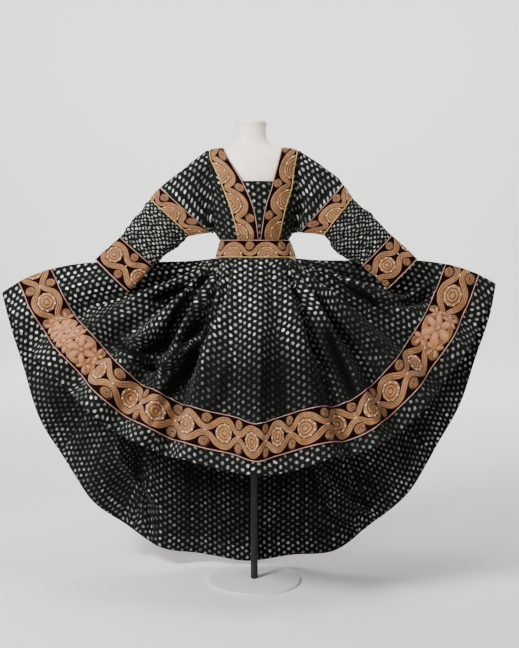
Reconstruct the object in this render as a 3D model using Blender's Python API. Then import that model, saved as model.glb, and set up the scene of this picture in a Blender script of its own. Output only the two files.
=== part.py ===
"""Long embroidered dress, raised in front and long behind, on a limbless dress form.

Metres, +Z up, with the front of the dress towards -Y and the wearer's left towards +X.
The origin is in the middle of the stand's base, on its underside. Heights in the tables
are above the seam where the skirt meets the waistband, and the finished points are lifted
by WAIST_HEIGHT.
"""

import math
from collections import namedtuple

import bmesh
import bpy
from mathutils import Vector

# Driving dimensions
WAIST_HEIGHT = 1.150
CLOTH = 0.002
SEAM = 0.0003
BORDER_WIDTH = 0.123
BORDER_RELIEF = 0.0018
SMOOTH_ANGLE = math.radians(50)

# Waist and waistband: half width, half depth and sideways shift of each edge
WAISTBAND_HEIGHT = 0.0617
WAISTBAND_THICKNESS = 0.003
WAIST_HALF_WIDTH = 0.1400
WAIST_HALF_DEPTH = 0.0975
WAIST_SHIFT = 0.0065
BAND_TOP_HALF_WIDTH = 0.1215
BAND_TOP_HALF_DEPTH = 0.0900
BAND_TOP_SHIFT = 0.0035
BAND_MEDALLIONS = 6

# Bodice openings
BODICE_FOOT = 0.0628
ARMHOLE_FOOT = 0.088
ARMHOLE_HEAD = 0.366
ARMHOLE_MIDDLE = (ARMHOLE_HEAD + ARMHOLE_FOOT) / 2
ARMHOLE_HALF_HEIGHT = (ARMHOLE_HEAD - ARMHOLE_FOOT) / 2
ARMHOLE_HALF_DEPTH = 0.040
NECK_HEAD = 0.3745
TIP_SHARE = 0.6
BACK_NECK_DIP = 0.024
BACK_NECK_ROUNDNESS = 0.7
NECK_HALF_MEDALLION = 0.1115

# Stand
BASE_RADIUS = 0.165
BASE_THICKNESS = 0.008
BASE_EDGE = 0.0015
POLE_RADIUS = 0.0125
POLE_SIDES = 20
BASE_SIDES = 48

# Mesh spacing, and the bodice's rows: below, along and above the armhole
SLEEVE_SIDES = 24
FOOT_ROWS = 2
ARMHOLE_ROWS = SLEEVE_SIDES // 2
SHOULDER_SHARES = (0.4, 0.72, 1.0)
INSERT_FOOT_LEVEL = 2
INSERT_HEAD_LEVEL = 9
FRONT_PANEL_COLUMNS = 5
NECK_COLUMNS = 4
FORM_SIDES = 24
FORM_ROW_SPACING = 0.045
WAISTBAND_SIDES = 36
WAISTBAND_ROWS = 3
SKIRT_UPPER_ROWS = 7
SKIRT_FRONT_COLUMNS = 68
SKIRT_BACK_COLUMNS = 68
FRONT_BORDER_ROWS = (0.0, 0.24, 0.76, 1.0)
BACK_BORDER_ROWS = (0.0, 0.5, 1.0)
COLUMNS_A_MEDALLION = 4

# Gathers below the waist, between two places down the skirt
GATHERS = 17
GATHER_DEPTH = 0.0035
GATHER_FULL = 0.06
GATHER_END = 0.45

# Shares of the hem beside each side seam: where folds die out, and where the halves part
FOLD_FREE_EDGE = 0.05
PARTED_EDGE = 0.03

# A bulge of v(1 - v)(1 - v) is at most 4 / 27
BULGE_SCALE = 27 / 4

# How far the skirt's outside turns sideways and up, against straight out
OUTWARD_SPREAD = 0.3
OUTWARD_RISE = 0.6

# Small steps for slopes: along a surface, up the form and along a sleeve
SURFACE_STEP = 0.002
HEIGHT_STEP = 0.0005
SLEEVE_STEP = 0.004

Ring = namedtuple("Ring", "height half_width half_depth shift")
FORM_RINGS = [
    Ring(-0.2700, 0.1250, 0.0850, 0.000),
    Ring(-0.2550, 0.1470, 0.1010, 0.000),
    Ring(-0.2200, 0.1560, 0.1080, 0.000),
    Ring(-0.1500, 0.1560, 0.1090, 0.000),
    Ring(-0.0700, 0.1430, 0.1000, 0.000),
    Ring(0.0000, 0.1240, 0.0870, 0.000),
    Ring(0.0600, 0.1110, 0.0820, 0.000),
    Ring(0.1300, 0.1210, 0.0900, 0.000),
    Ring(0.2000, 0.1340, 0.1000, 0.000),
    Ring(0.2550, 0.1430, 0.1050, 0.000),
    Ring(0.3000, 0.1510, 0.0990, 0.000),
    Ring(0.3350, 0.1590, 0.0880, 0.000),
    Ring(0.3520, 0.1615, 0.0800, 0.000),
    Ring(0.3620, 0.1600, 0.0750, 0.000),
    Ring(0.3675, 0.1500, 0.0710, 0.000),
    Ring(0.3715, 0.1310, 0.0670, 0.000),
    Ring(0.3750, 0.1080, 0.0620, -0.002),
    Ring(0.3810, 0.0860, 0.0570, -0.004),
    Ring(0.3910, 0.0680, 0.0530, -0.007),
    Ring(0.4060, 0.0560, 0.0500, -0.008),
    Ring(0.4280, 0.0505, 0.0480, -0.009),
    Ring(0.4500, 0.0515, 0.0480, -0.009),
    Ring(0.4640, 0.0540, 0.0500, -0.009),
    Ring(0.4690, 0.0520, 0.0480, -0.009),
]

# Space between the form and the inside of the bodice
Ease = namedtuple("Ease", "height ease")
BODICE_EASE = [
    Ease(0.060, 0.0072),
    Ease(0.088, 0.0200),
    Ease(0.150, 0.0250),
    Ease(0.230, 0.0210),
    Ease(0.290, 0.0090),
    Ease(0.335, 0.0040),
    Ease(0.355, 0.0034),
    Ease(0.366, 0.0030),
    Ease(0.376, 0.0013),
]

# Sideways places of the neck borders' two edges
NeckEdge = namedtuple("NeckEdge", "height inner outer")
NECK_BORDER_RIGHT = [
    NeckEdge(0.060, 0.0150, -0.0490),
    NeckEdge(0.118, 0.0095, -0.0560),
    NeckEdge(0.180, -0.0020, -0.0720),
    NeckEdge(0.240, -0.0260, -0.0950),
    NeckEdge(0.300, -0.0620, -0.1260),
    NeckEdge(0.340, -0.0870, -0.1460),
    NeckEdge(0.366, -0.1000, -0.1500),
    NeckEdge(0.376, -0.1030, -0.1600),
]
NECK_BORDER_LEFT = [
    NeckEdge(0.060, 0.0188, 0.0770),
    NeckEdge(0.118, 0.0240, 0.0820),
    NeckEdge(0.180, 0.0340, 0.0950),
    NeckEdge(0.240, 0.0530, 0.1150),
    NeckEdge(0.300, 0.0720, 0.1310),
    NeckEdge(0.340, 0.0840, 0.1420),
    NeckEdge(0.366, 0.0910, 0.1480),
    NeckEdge(0.376, 0.0930, 0.1560),
]

# Sleeve sections: the highest and lowest point of the tube and how deep it is
Section = namedtuple("Section", "along top_x top_z low_x low_z mid_y half_depth")
SLEEVE_RIGHT = [
    Section(0.00, -0.160, 0.368, -0.138, 0.090, -0.004, 0.052),
    Section(0.18, -0.244, 0.309, -0.144, 0.0885, -0.020, 0.048),
    Section(0.36, -0.321, 0.241, -0.151, 0.0880, -0.035, 0.043),
    Section(0.47, -0.356, 0.199, -0.220, 0.0760, -0.050, 0.038),
    Section(0.62, -0.402, 0.141, -0.266, 0.0360, -0.065, 0.035),
    Section(0.80, -0.455, 0.0725, -0.345, -0.0256, -0.074, 0.027),
    Section(1.00, -0.541, -0.0058, -0.430, -0.1153, -0.082, 0.024),
]
SLEEVE_LEFT = [
    Section(0.00, 0.158, 0.368, 0.140, 0.090, -0.004, 0.052),
    Section(0.18, 0.237, 0.316, 0.148, 0.0885, -0.020, 0.048),
    Section(0.36, 0.306, 0.251, 0.157, 0.0880, -0.035, 0.043),
    Section(0.47, 0.337, 0.2045, 0.240, 0.0780, -0.050, 0.038),
    Section(0.62, 0.402, 0.144, 0.281, 0.0206, -0.065, 0.035),
    Section(0.80, 0.469, 0.0776, 0.369, -0.0260, -0.068, 0.027),
    Section(1.00, 0.558, -0.0048, 0.461, -0.1044, -0.073, 0.024),
]
ROOT_BLEND = 0.14

# Pieces of a sleeve: where each starts and ends along it, its rows and its medallions
SleevePiece = namedtuple("SleevePiece", "name start end rows relief medallions finish")
SLEEVE_PIECES = [
    SleevePiece("sleeve_upper", 0.00, 0.36, 5, 0.0, 0, "dotted_georgette"),
    SleevePiece("sleeve_band", 0.36, 0.47, 2, BORDER_RELIEF, 3, "gold_embroidery"),
    SleevePiece("sleeve_lower", 0.47, 0.80, 4, 0.0, 0, "dotted_georgette"),
    SleevePiece("cuff", 0.80, 1.00, 3, BORDER_RELIEF, 2, "gold_embroidery"),
]

# Skirt rays: where each meets the waist and the hem, the plain strip below the border,
# and how far the cloth stands out of a straight line near the waist and near the hem
Ray = namedtuple("Ray", "along turn x y z strip puff lift")
SKIRT_FRONT_RAYS = [
    Ray(0.000, 0, -0.878, -0.020, -0.122, 0.062, 0.000, 0.058),
    Ray(0.095, 12, -0.774, -0.100, -0.297, 0.066, 0.000, 0.034),
    Ray(0.171, 20, -0.659, -0.170, -0.408, 0.066, 0.004, 0.020),
    Ray(0.249, 28, -0.531, -0.240, -0.514, 0.060, 0.008, 0.010),
    Ray(0.327, 37, -0.381, -0.290, -0.598, 0.058, 0.018, 0.005),
    Ray(0.409, 56, -0.203, -0.340, -0.649, 0.055, 0.030, 0.004),
    Ray(0.460, 74, -0.093, -0.375, -0.667, 0.055, 0.036, 0.004),
    Ray(0.506, 91, 0.011, -0.390, -0.683, 0.048, 0.040, 0.004),
    Ray(0.560, 108, 0.134, -0.375, -0.667, 0.060, 0.036, 0.004),
    Ray(0.625, 127, 0.276, -0.340, -0.630, 0.058, 0.028, 0.004),
    Ray(0.686, 141, 0.409, -0.290, -0.604, 0.058, 0.018, 0.006),
    Ray(0.760, 151, 0.546, -0.240, -0.511, 0.060, 0.010, 0.010),
    Ray(0.840, 160, 0.663, -0.170, -0.388, 0.062, 0.004, 0.018),
    Ray(0.922, 169, 0.767, -0.100, -0.245, 0.064, 0.000, 0.030),
    Ray(1.000, 180, 0.842, -0.020, -0.091, 0.062, 0.000, 0.048),
]
SKIRT_BACK_RAYS = [
    Ray(0.000, 0, -0.878, -0.020, -0.122, 0.062, 0.000, 0.058),
    Ray(0.041, 6, -0.863, 0.024, -0.237, 0.064, 0.000, 0.052),
    Ray(0.084, 12, -0.838, 0.056, -0.358, 0.066, 0.004, 0.044),
    Ray(0.135, 19, -0.800, 0.083, -0.506, 0.066, 0.010, 0.034),
    Ray(0.189, 26, -0.746, 0.106, -0.657, 0.066, 0.018, 0.026),
    Ray(0.247, 34, -0.656, 0.125, -0.805, 0.066, 0.026, 0.020),
    Ray(0.309, 44, -0.539, 0.140, -0.948, 0.066, 0.034, 0.014),
    Ray(0.368, 55, -0.393, 0.151, -1.049, 0.066, 0.040, 0.010),
    Ray(0.432, 71, -0.211, 0.158, -1.108, 0.066, 0.044, 0.008),
    Ray(0.495, 90, -0.024, 0.160, -1.124, 0.066, 0.046, 0.008),
    Ray(0.549, 106, 0.137, 0.158, -1.116, 0.066, 0.044, 0.008),
    Ray(0.599, 120, 0.286, 0.151, -1.084, 0.066, 0.040, 0.010),
    Ray(0.662, 135, 0.444, 0.140, -0.986, 0.066, 0.034, 0.014),
    Ray(0.720, 145, 0.563, 0.125, -0.858, 0.066, 0.026, 0.020),
    Ray(0.785, 154, 0.667, 0.106, -0.694, 0.066, 0.018, 0.024),
    Ray(0.850, 162, 0.744, 0.083, -0.517, 0.066, 0.010, 0.030),
    Ray(0.909, 169, 0.797, 0.056, -0.347, 0.066, 0.004, 0.038),
    Ray(0.960, 175, 0.833, 0.024, -0.202, 0.064, 0.000, 0.044),
    Ray(1.000, 180, 0.842, -0.020, -0.091, 0.062, 0.000, 0.048),
]

# Skirt folds: place along the hem, half width, height out of the cloth (valleys below
# zero), how far the line drifts by the hem, and where down the skirt it has its full height
Fold = namedtuple("Fold", "along width height drift full")
SKIRT_FRONT_FOLDS = [
    Fold(0.056, 0.022, 0.015, -0.010, 0.33),
    Fold(0.102, 0.022, -0.035, -0.012, 0.28),
    Fold(0.150, 0.022, 0.020, -0.010, 0.33),
    Fold(0.196, 0.022, -0.040, -0.008, 0.38),
    Fold(0.240, 0.022, 0.022, 0.000, 0.38),
    Fold(0.290, 0.020, -0.050, -0.006, 0.43),
    Fold(0.328, 0.020, 0.030, 0.004, 0.43),
    Fold(0.368, 0.018, -0.053, 0.000, 0.38),
    Fold(0.405, 0.022, 0.018, 0.000, 0.43),
    Fold(0.452, 0.022, -0.015, 0.000, 0.43),
    Fold(0.505, 0.024, 0.015, 0.000, 0.48),
    Fold(0.558, 0.022, -0.013, 0.000, 0.48),
    Fold(0.600, 0.022, 0.015, 0.000, 0.43),
    Fold(0.640, 0.018, -0.055, 0.006, 0.33),
    Fold(0.678, 0.020, 0.035, 0.006, 0.38),
    Fold(0.724, 0.022, -0.043, 0.004, 0.38),
    Fold(0.770, 0.022, 0.022, 0.004, 0.38),
    Fold(0.822, 0.022, -0.043, 0.004, 0.33),
    Fold(0.872, 0.022, 0.022, 0.010, 0.33),
    Fold(0.915, 0.020, -0.022, 0.014, 0.28),
]
SKIRT_BACK_FOLDS = [
    Fold(0.090, 0.030, 0.014, 0.000, 0.50),
    Fold(0.150, 0.028, -0.020, 0.000, 0.50),
    Fold(0.212, 0.028, 0.022, 0.000, 0.60),
    Fold(0.272, 0.026, -0.028, 0.006, 0.65),
    Fold(0.330, 0.026, 0.026, 0.004, 0.65),
    Fold(0.386, 0.024, -0.026, 0.000, 0.70),
    Fold(0.440, 0.026, 0.024, 0.000, 0.70),
    Fold(0.494, 0.024, -0.022, 0.000, 0.70),
    Fold(0.548, 0.026, 0.024, 0.000, 0.70),
    Fold(0.606, 0.024, -0.028, 0.000, 0.65),
    Fold(0.664, 0.026, 0.026, -0.004, 0.65),
    Fold(0.726, 0.026, -0.026, -0.004, 0.60),
    Fold(0.788, 0.028, 0.022, 0.000, 0.60),
    Fold(0.850, 0.028, -0.020, 0.000, 0.50),
    Fold(0.912, 0.028, 0.012, 0.000, 0.50),
]

# Colours and finishes: red, green, blue, roughness, metallic
FINISHES = {
    "dotted_georgette": (0.012, 0.017, 0.015, 0.60, 0.0),
    "gold_embroidery": (0.480, 0.270, 0.120, 0.45, 0.4),
    "form_shell": (0.860, 0.790, 0.720, 0.50, 0.0),
    "pole_paint": (0.015, 0.015, 0.015, 0.55, 0.0),
    "base_paint": (0.800, 0.780, 0.750, 0.45, 0.0),
}


def read(table, at, column):
    """The smooth value of one column of a table, at a place along its first column."""
    last = len(table) - 1
    at = min(max(at, table[0][0]), table[last][0])
    index = next(k for k in range(last) if at <= table[k + 1][0])
    low, high = table[index], table[index + 1]
    before, after = table[max(index - 1, 0)], table[min(index + 2, last)]
    span = high[0] - low[0]
    start, end = getattr(low, column), getattr(high, column)
    slope_in = (end - getattr(before, column)) / (high[0] - before[0]) * span
    slope_out = (getattr(after, column) - start) / (after[0] - low[0]) * span
    t = (at - low[0]) / span
    cubic = 2 * (start - end) + slope_in + slope_out
    square = 3 * (end - start) - 2 * slope_in - slope_out
    return ((cubic * t + square) * t + slope_in) * t + start


def mix(low, high, share):
    """The value that lies a share of the way from low to high."""
    return low + (high - low) * share


def normal_of(surface, u, v, outward, step=SURFACE_STEP):
    """The unit normal of surface(u, v), on the side that outward points to."""
    u_low, u_high = max(u - step, 0.0), min(u + step, 1.0)
    v_low, v_high = max(v - step, 0.0), min(v + step, 1.0)
    across = surface(u_high, v) - surface(u_low, v)
    down = surface(u, v_high) - surface(u, v_low)
    normal = across.cross(down).normalized()
    return normal if normal.dot(outward) > 0 else -normal


def finish(name):
    """A material with one of the finishes."""
    red, green, blue, roughness, metallic = FINISHES[name]
    material = bpy.data.materials.get(name) or bpy.data.materials.new(name)
    material.use_nodes = True
    shader = material.node_tree.nodes["Principled BSDF"]
    shader.inputs["Base Color"].default_value = (red, green, blue, 1.0)
    shader.inputs["Roughness"].default_value = roughness
    shader.inputs["Metallic"].default_value = metallic
    return material


def add_object(name, bm, finish_name, collection):
    """A named object, shaded smooth, made from a bmesh in waist-based heights."""
    bmesh.ops.translate(bm, verts=bm.verts, vec=(0.0, 0.0, WAIST_HEIGHT))
    bmesh.ops.recalc_face_normals(bm, faces=bm.faces)
    mesh = bpy.data.meshes.new(name)
    bm.to_mesh(mesh)
    bm.free()
    mesh.shade_smooth()
    mesh.set_sharp_from_angle(angle=SMOOTH_ANGLE)
    mesh.materials.append(finish(finish_name))
    item = bpy.data.objects.new(name, mesh)
    collection.objects.link(item)
    return item


def sheet(columns, rows, place, closed):
    """A one-layer grid of place(u, v), with u and v kept on its points."""
    bm = bmesh.new()
    keep_u = bm.verts.layers.float.new("u")
    keep_v = bm.verts.layers.float.new("v")
    bmesh.ops.create_grid(bm, x_segments=columns, y_segments=rows, size=0.5)
    bmesh.ops.triangulate(bm, faces=bm.faces, quad_method="FIXED")
    for vert in bm.verts:
        vert[keep_u] = vert.co.x + 0.5
        vert[keep_v] = vert.co.y + 0.5
        vert.co = place(vert[keep_u], vert[keep_v])
    if closed:
        bmesh.ops.remove_doubles(bm, verts=bm.verts, dist=0.00001)
    return bm, keep_u, keep_v


def wall(columns, rows, place, closed=False):
    """A closed cloth wall, where place(u, v, side) is outside at side 1 and inside at 0."""
    bm, keep_u, keep_v = sheet(columns, rows, lambda u, v: place(u, v, 1), closed)
    grown = bmesh.ops.extrude_face_region(bm, geom=bm.faces[:], use_keep_orig=True)
    for vert in grown["geom"]:
        if isinstance(vert, bmesh.types.BMVert):
            vert.co = place(vert[keep_u], vert[keep_v], 0)
    return bm


def tube(columns, rows, place):
    """A solid body of closed rings place(u, v), with flat ends."""
    bm = sheet(columns, rows, place, True)[0]
    ends = [edge for edge in bm.edges if edge.is_boundary]
    bmesh.ops.holes_fill(bm, edges=ends, sides=0)
    return bm


def form_point(x, height, back):
    """A point of the form's skin and the skin's normal there."""
    width = read(FORM_RINGS, height, "half_width")
    depth = read(FORM_RINGS, height, "half_depth")
    shift = read(FORM_RINGS, height, "shift")
    above, below = height + HEIGHT_STEP, height - HEIGHT_STEP
    widening = (read(FORM_RINGS, above, "half_width")
                - read(FORM_RINGS, below, "half_width")) / (2 * HEIGHT_STEP)
    deepening = (read(FORM_RINGS, above, "half_depth")
                 - read(FORM_RINGS, below, "half_depth")) / (2 * HEIGHT_STEP)
    across = min(max((x - shift) / width, -1.0), 1.0)
    inward = math.sqrt(1.0 - across * across) * (1.0 if back else -1.0)
    point = Vector((shift + width * across, depth * inward, height))
    normal = Vector((across / width, inward / depth,
                     -across * across * widening / width
                     - inward * inward * deepening / depth))
    return point, normal.normalized()


def bodice_point(x, height, away, back=False):
    """A point that lies away from the bodice's inside, kept on its side of the side seam."""
    point, normal = form_point(x, height, back)
    point += normal * (read(BODICE_EASE, height, "ease") + away)
    if back:
        point.y = max(point.y, SEAM / 2)
    else:
        point.y = min(point.y, -SEAM / 2)
    return point


def bodice_levels():
    """The heights of the bodice's rows; along the armhole they are the sleeve's points."""
    levels = [mix(BODICE_FOOT, ARMHOLE_FOOT, k / FOOT_ROWS) for k in range(FOOT_ROWS)]
    levels += [ARMHOLE_MIDDLE - ARMHOLE_HALF_HEIGHT * math.cos(math.pi * k / ARMHOLE_ROWS)
               for k in range(ARMHOLE_ROWS + 1)]
    levels += [mix(ARMHOLE_HEAD, NECK_HEAD, share) for share in SHOULDER_SHARES]
    return levels


LEVELS = bodice_levels()


def side_limit(height):
    """How far from the middle the bodice reaches: its side seam, armhole or shoulder seam."""
    width = read(FORM_RINGS, height, "half_width")
    if height <= ARMHOLE_FOOT or height >= ARMHOLE_HEAD:
        return width
    rise = (height - ARMHOLE_MIDDLE) / ARMHOLE_HALF_HEIGHT
    depth = ARMHOLE_HALF_DEPTH * math.sqrt(max(1.0 - rise * rise, 0.0))
    return width * math.sqrt(1.0 - (depth / read(FORM_RINGS, height, "half_depth")) ** 2)


def level_of(v, first, last):
    """The height of a row, with v from 0 at level first to 1 at level last."""
    return LEVELS[first + round(v * (last - first))]


def front_panel(side):
    """The bodice's front between the neck border and the armhole; side is -1 or 1."""
    edges = NECK_BORDER_RIGHT if side < 0 else NECK_BORDER_LEFT
    last = FOOT_ROWS + ARMHOLE_ROWS

    def on_level(u, index, outside):
        near = abs(read(edges, LEVELS[index], "outer")) + SEAM / 2
        far = max(side_limit(LEVELS[index]), near + CLOTH)
        return bodice_point(side * mix(near, far, u), LEVELS[index], CLOTH * outside)

    def place(u, v, outside):
        index = round(v * last)
        if index < last:
            return on_level(u, index, outside)
        return on_level(u, last - 1, outside).lerp(on_level(u, last, outside), TIP_SHARE)

    return wall(FRONT_PANEL_COLUMNS, last, place)


def back_panel():
    """The bodice's back, from side to side and up to the neck's shallow dip."""
    top = len(LEVELS) - 1

    def place(u, v, outside):
        across = -math.cos(math.pi * u)
        height = level_of(v, 0, top)
        dip = BACK_NECK_DIP * max(1.0 - across * across, 0.0) ** BACK_NECK_ROUNDNESS
        share = (height - BODICE_FOOT) / (NECK_HEAD - BODICE_FOOT)
        limit = side_limit(height)
        lowered = height - dip * share * share
        return bodice_point(across * limit, lowered, CLOTH * outside, back=True)

    return wall(FORM_SIDES // 2, top, place)


def neck_border(side):
    """The embroidered border along the neck, from the waistband over to the shoulder seam."""
    edges = NECK_BORDER_RIGHT if side < 0 else NECK_BORDER_LEFT
    top = len(LEVELS) - 1

    def place(u, v, outside):
        height = level_of(v, 0, top)
        inner = read(edges, height, "inner") + side * SEAM / 2
        outer = read(edges, height, "outer") - side * SEAM / 2
        limit = side_limit(height) if height > ARMHOLE_HEAD else math.inf
        x = side * min(side * mix(inner, outer, u), limit)
        wave = 0.5 - 0.5 * math.cos(2 * math.pi * (height - BODICE_FOOT) / NECK_HALF_MEDALLION)
        relief = BORDER_RELIEF * wave * math.sin(math.pi * u)
        return bodice_point(x, height, (CLOTH + relief) * outside)

    return wall(NECK_COLUMNS, top, place)


def neck_insert():
    """The dotted insert that fills the lower part of the neck between the borders."""
    def place(u, v, outside):
        height = level_of(v, INSERT_FOOT_LEVEL, INSERT_HEAD_LEVEL)
        right = read(NECK_BORDER_RIGHT, height, "inner") + SEAM / 2
        left = read(NECK_BORDER_LEFT, height, "inner") - SEAM / 2
        return bodice_point(mix(right, left, u), height, CLOTH * outside)

    return wall(NECK_COLUMNS, INSERT_HEAD_LEVEL - INSERT_FOOT_LEVEL, place)


def waistband():
    """The embroidered band round the waist."""
    def place(u, v, outside):
        turn = 2 * math.pi * u
        wave = 0.5 - 0.5 * math.cos(2 * math.pi * BAND_MEDALLIONS * u)
        relief = BORDER_RELIEF * wave * math.sin(math.pi * v)
        away = relief if outside else -WAISTBAND_THICKNESS
        width = mix(WAIST_HALF_WIDTH, BAND_TOP_HALF_WIDTH, v) + away
        depth = mix(WAIST_HALF_DEPTH, BAND_TOP_HALF_DEPTH, v) + away
        shift = mix(WAIST_SHIFT, BAND_TOP_SHIFT, v)
        return Vector((shift + width * math.cos(turn), depth * math.sin(turn),
                       WAISTBAND_HEIGHT * v))

    return wall(WAISTBAND_SIDES, WAISTBAND_ROWS, place, closed=True)


def armhole_point(side, turn):
    """The middle of the bodice's edge at the armhole, just past its wall."""
    height = ARMHOLE_MIDDLE + ARMHOLE_HALF_HEIGHT * math.sin(turn)
    back = math.cos(turn) < 0
    x = side * side_limit(min(max(height, ARMHOLE_FOOT), ARMHOLE_HEAD))
    point, normal = form_point(x, height, back)
    point += normal * (read(BODICE_EASE, height, "ease") + CLOTH / 2)
    point.x += side * (abs(normal.x) * CLOTH / 2 + 2 * SEAM)
    return point


def sleeve_point(side, u, along):
    """The middle of the sleeve's wall; u goes round from the lowest line by the front."""
    sections = SLEEVE_RIGHT if side < 0 else SLEEVE_LEFT
    turn = 2 * math.pi * u - math.pi / 2
    top = Vector((read(sections, along, "top_x"), 0, read(sections, along, "top_z")))
    low = Vector((read(sections, along, "low_x"), 0, read(sections, along, "low_z")))
    point = (top + low) / 2 + (top - low) / 2 * math.sin(turn)
    point.y = read(sections, along, "mid_y")
    point.y -= read(sections, along, "half_depth") * math.cos(turn)
    if along < ROOT_BLEND:
        share = 1.0 - along / ROOT_BLEND
        point = point.lerp(armhole_point(side, turn), share * share * (3 - 2 * share))
    return point


def sleeve_centre(side, along):
    """The middle of the sleeve's section."""
    return (sleeve_point(side, 0.0, along) + sleeve_point(side, 0.5, along)) / 2


def sleeve_piece(side, part):
    """One of the sleeve's pieces, as a tube."""
    def place(u, v, outside):
        along = mix(part.start, part.end, v)
        point = sleeve_point(side, u, along)
        around = (sleeve_point(side, u + SLEEVE_STEP, along)
                  - sleeve_point(side, u - SLEEVE_STEP, along))
        down = (sleeve_point(side, u, min(along + SLEEVE_STEP, 1.0))
                - sleeve_point(side, u, max(along - SLEEVE_STEP, 0.0)))
        if along < SLEEVE_STEP:
            down = Vector((side, 0, 0))
        normal = around.cross(down).normalized()
        if normal.dot(point - sleeve_centre(side, along)) < 0:
            normal = -normal
        if v == 1 and part.end < 1:
            point -= down.normalized() * SEAM
        wave = 0.5 - 0.5 * math.cos(2 * math.pi * part.medallions * u)
        raised = part.relief * wave * math.sin(math.pi * v)
        return point + normal * (CLOTH / 2 + raised if outside else -CLOTH / 2)

    return wall(SLEEVE_SIDES, part.rows, place, closed=True)


def skirt_ray(rays, back, u, v):
    """A point of the skirt before its folds, from the waist at v 0 to the hem at v 1."""
    turn = math.radians(read(rays, u, "turn"))
    waist = Vector((WAIST_SHIFT - (WAIST_HALF_WIDTH - CLOTH / 2) * math.cos(turn),
                    (WAIST_HALF_DEPTH - CLOTH / 2) * math.sin(turn) * (1 if back else -1),
                    -CLOTH / 2 - 2 * SEAM))
    hem = Vector((read(rays, u, "x"), read(rays, u, "y"), read(rays, u, "z")))
    line = hem - waist
    level = math.hypot(line.x, line.y)
    upward = Vector((-line.z * line.x / level, -line.z * line.y / level, level)).normalized()
    near_waist = BULGE_SCALE * v * (1 - v) ** 2
    near_hem = BULGE_SCALE * v * v * (1 - v)
    away = read(rays, u, "puff") * near_waist + read(rays, u, "lift") * near_hem
    return waist + line * v + upward * away


def fold_height(folds, u, v):
    """How far folds and gathers stand out of the skirt."""
    total = 0.0
    for fold in folds:
        apart = (u - fold.along - fold.drift * v) / fold.width
        grown = min(v / fold.full, 1.0)
        total += fold.height * math.exp(-apart * apart) * grown * grown * (3 - 2 * grown)
    pull = min(v / GATHER_FULL, 1.0) * max(1.0 - v / GATHER_END, 0.0)
    total += GATHER_DEPTH * pull * math.sin(2 * math.pi * GATHERS * u)
    edge = min(u, 1.0 - u) / FOLD_FREE_EDGE
    return total * min(edge, 1.0)


class Skirt:
    """One half of the skirt: its surface, its wall and the border that lies on it."""

    def __init__(self, rays, folds, back, columns, border_rows):
        self.rays = rays
        self.border_rows = border_rows
        self.folds = folds
        self.back = back
        self.columns = columns
        self.behind = 1.0 if back else -1.0

    def plain(self, u, v):
        """The surface without folds."""
        return skirt_ray(self.rays, self.back, u, v)

    def outward(self, u, v):
        """A direction that is outside the skirt at u, v."""
        sideways = math.cos(math.pi * (1 - u)) * OUTWARD_SPREAD
        return Vector((sideways, self.behind, OUTWARD_RISE))

    def folded(self, u, v):
        """The middle of the cloth."""
        normal = normal_of(self.plain, u, v, self.outward(u, v))
        return self.plain(u, v) + normal * fold_height(self.folds, u, v)

    def row(self, u, index):
        """The v of a row of points, so that rows run along the border's edges."""
        length = (self.plain(u, 1.0) - self.plain(u, 0.0)).length
        lower = 1.0 - read(self.rays, u, "strip") / length
        upper = lower - BORDER_WIDTH / length
        if index <= SKIRT_UPPER_ROWS:
            return upper * index / SKIRT_UPPER_ROWS
        if index < SKIRT_UPPER_ROWS + len(self.border_rows):
            return mix(upper, lower, self.border_rows[index - SKIRT_UPPER_ROWS])
        return 1.0

    def place(self, u, v, away):
        """A point that is away from the middle of the cloth, clear of the other half."""
        middle = self.folded(u, v)
        normal = normal_of(self.folded, u, v, self.outward(u, v))
        near_side = max(1.0 - min(u, 1.0 - u) / PARTED_EDGE, 0.0)
        apart = (abs(normal.y) * CLOTH / 2 + SEAM / 2) * near_side
        return middle + normal * away + Vector((0.0, self.behind * apart, 0.0))

    def panel(self):
        """The cloth wall from the waist to the hem."""
        rows = SKIRT_UPPER_ROWS + len(self.border_rows)

        def place(u, v, outside):
            return self.place(u, self.row(u, round(v * rows)), CLOTH * (outside - 0.5))

        return wall(self.columns, rows, place)

    def border(self):
        """The embroidered band that is sewn on near the hem."""
        rows = len(self.border_rows) - 1
        medallions = self.columns // COLUMNS_A_MEDALLION

        def place(u, v, outside):
            index = round(v * rows)
            wave = 0.5 - 0.5 * math.cos(2 * math.pi * medallions * u)
            relief = BORDER_RELIEF * wave * math.sin(math.pi * self.border_rows[index])
            away = CLOTH / 2 + SEAM + (CLOTH + relief) * outside
            return self.place(u, self.row(u, SKIRT_UPPER_ROWS + index), away)

        return wall(self.columns, rows, place)


def form_heights():
    """The heights of the form's rings: those of the table, and more where they are far apart."""
    heights = []
    for low, high in zip(FORM_RINGS, FORM_RINGS[1:]):
        parts = 1 + int((high.height - low.height) / FORM_ROW_SPACING)
        heights += [mix(low.height, high.height, k / parts) for k in range(parts)]
    return heights + [FORM_RINGS[-1].height]


def form_torso():
    """The limbless form, from the hips to the flat top of the neck."""
    heights = form_heights()
    rows = len(heights) - 1

    def place(u, v):
        height = heights[round(v * rows)]
        turn = 2 * math.pi * u
        return Vector((read(FORM_RINGS, height, "shift")
                       + read(FORM_RINGS, height, "half_width") * math.cos(turn),
                       read(FORM_RINGS, height, "half_depth") * math.sin(turn), height))

    return tube(FORM_SIDES, rows, place)


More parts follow.
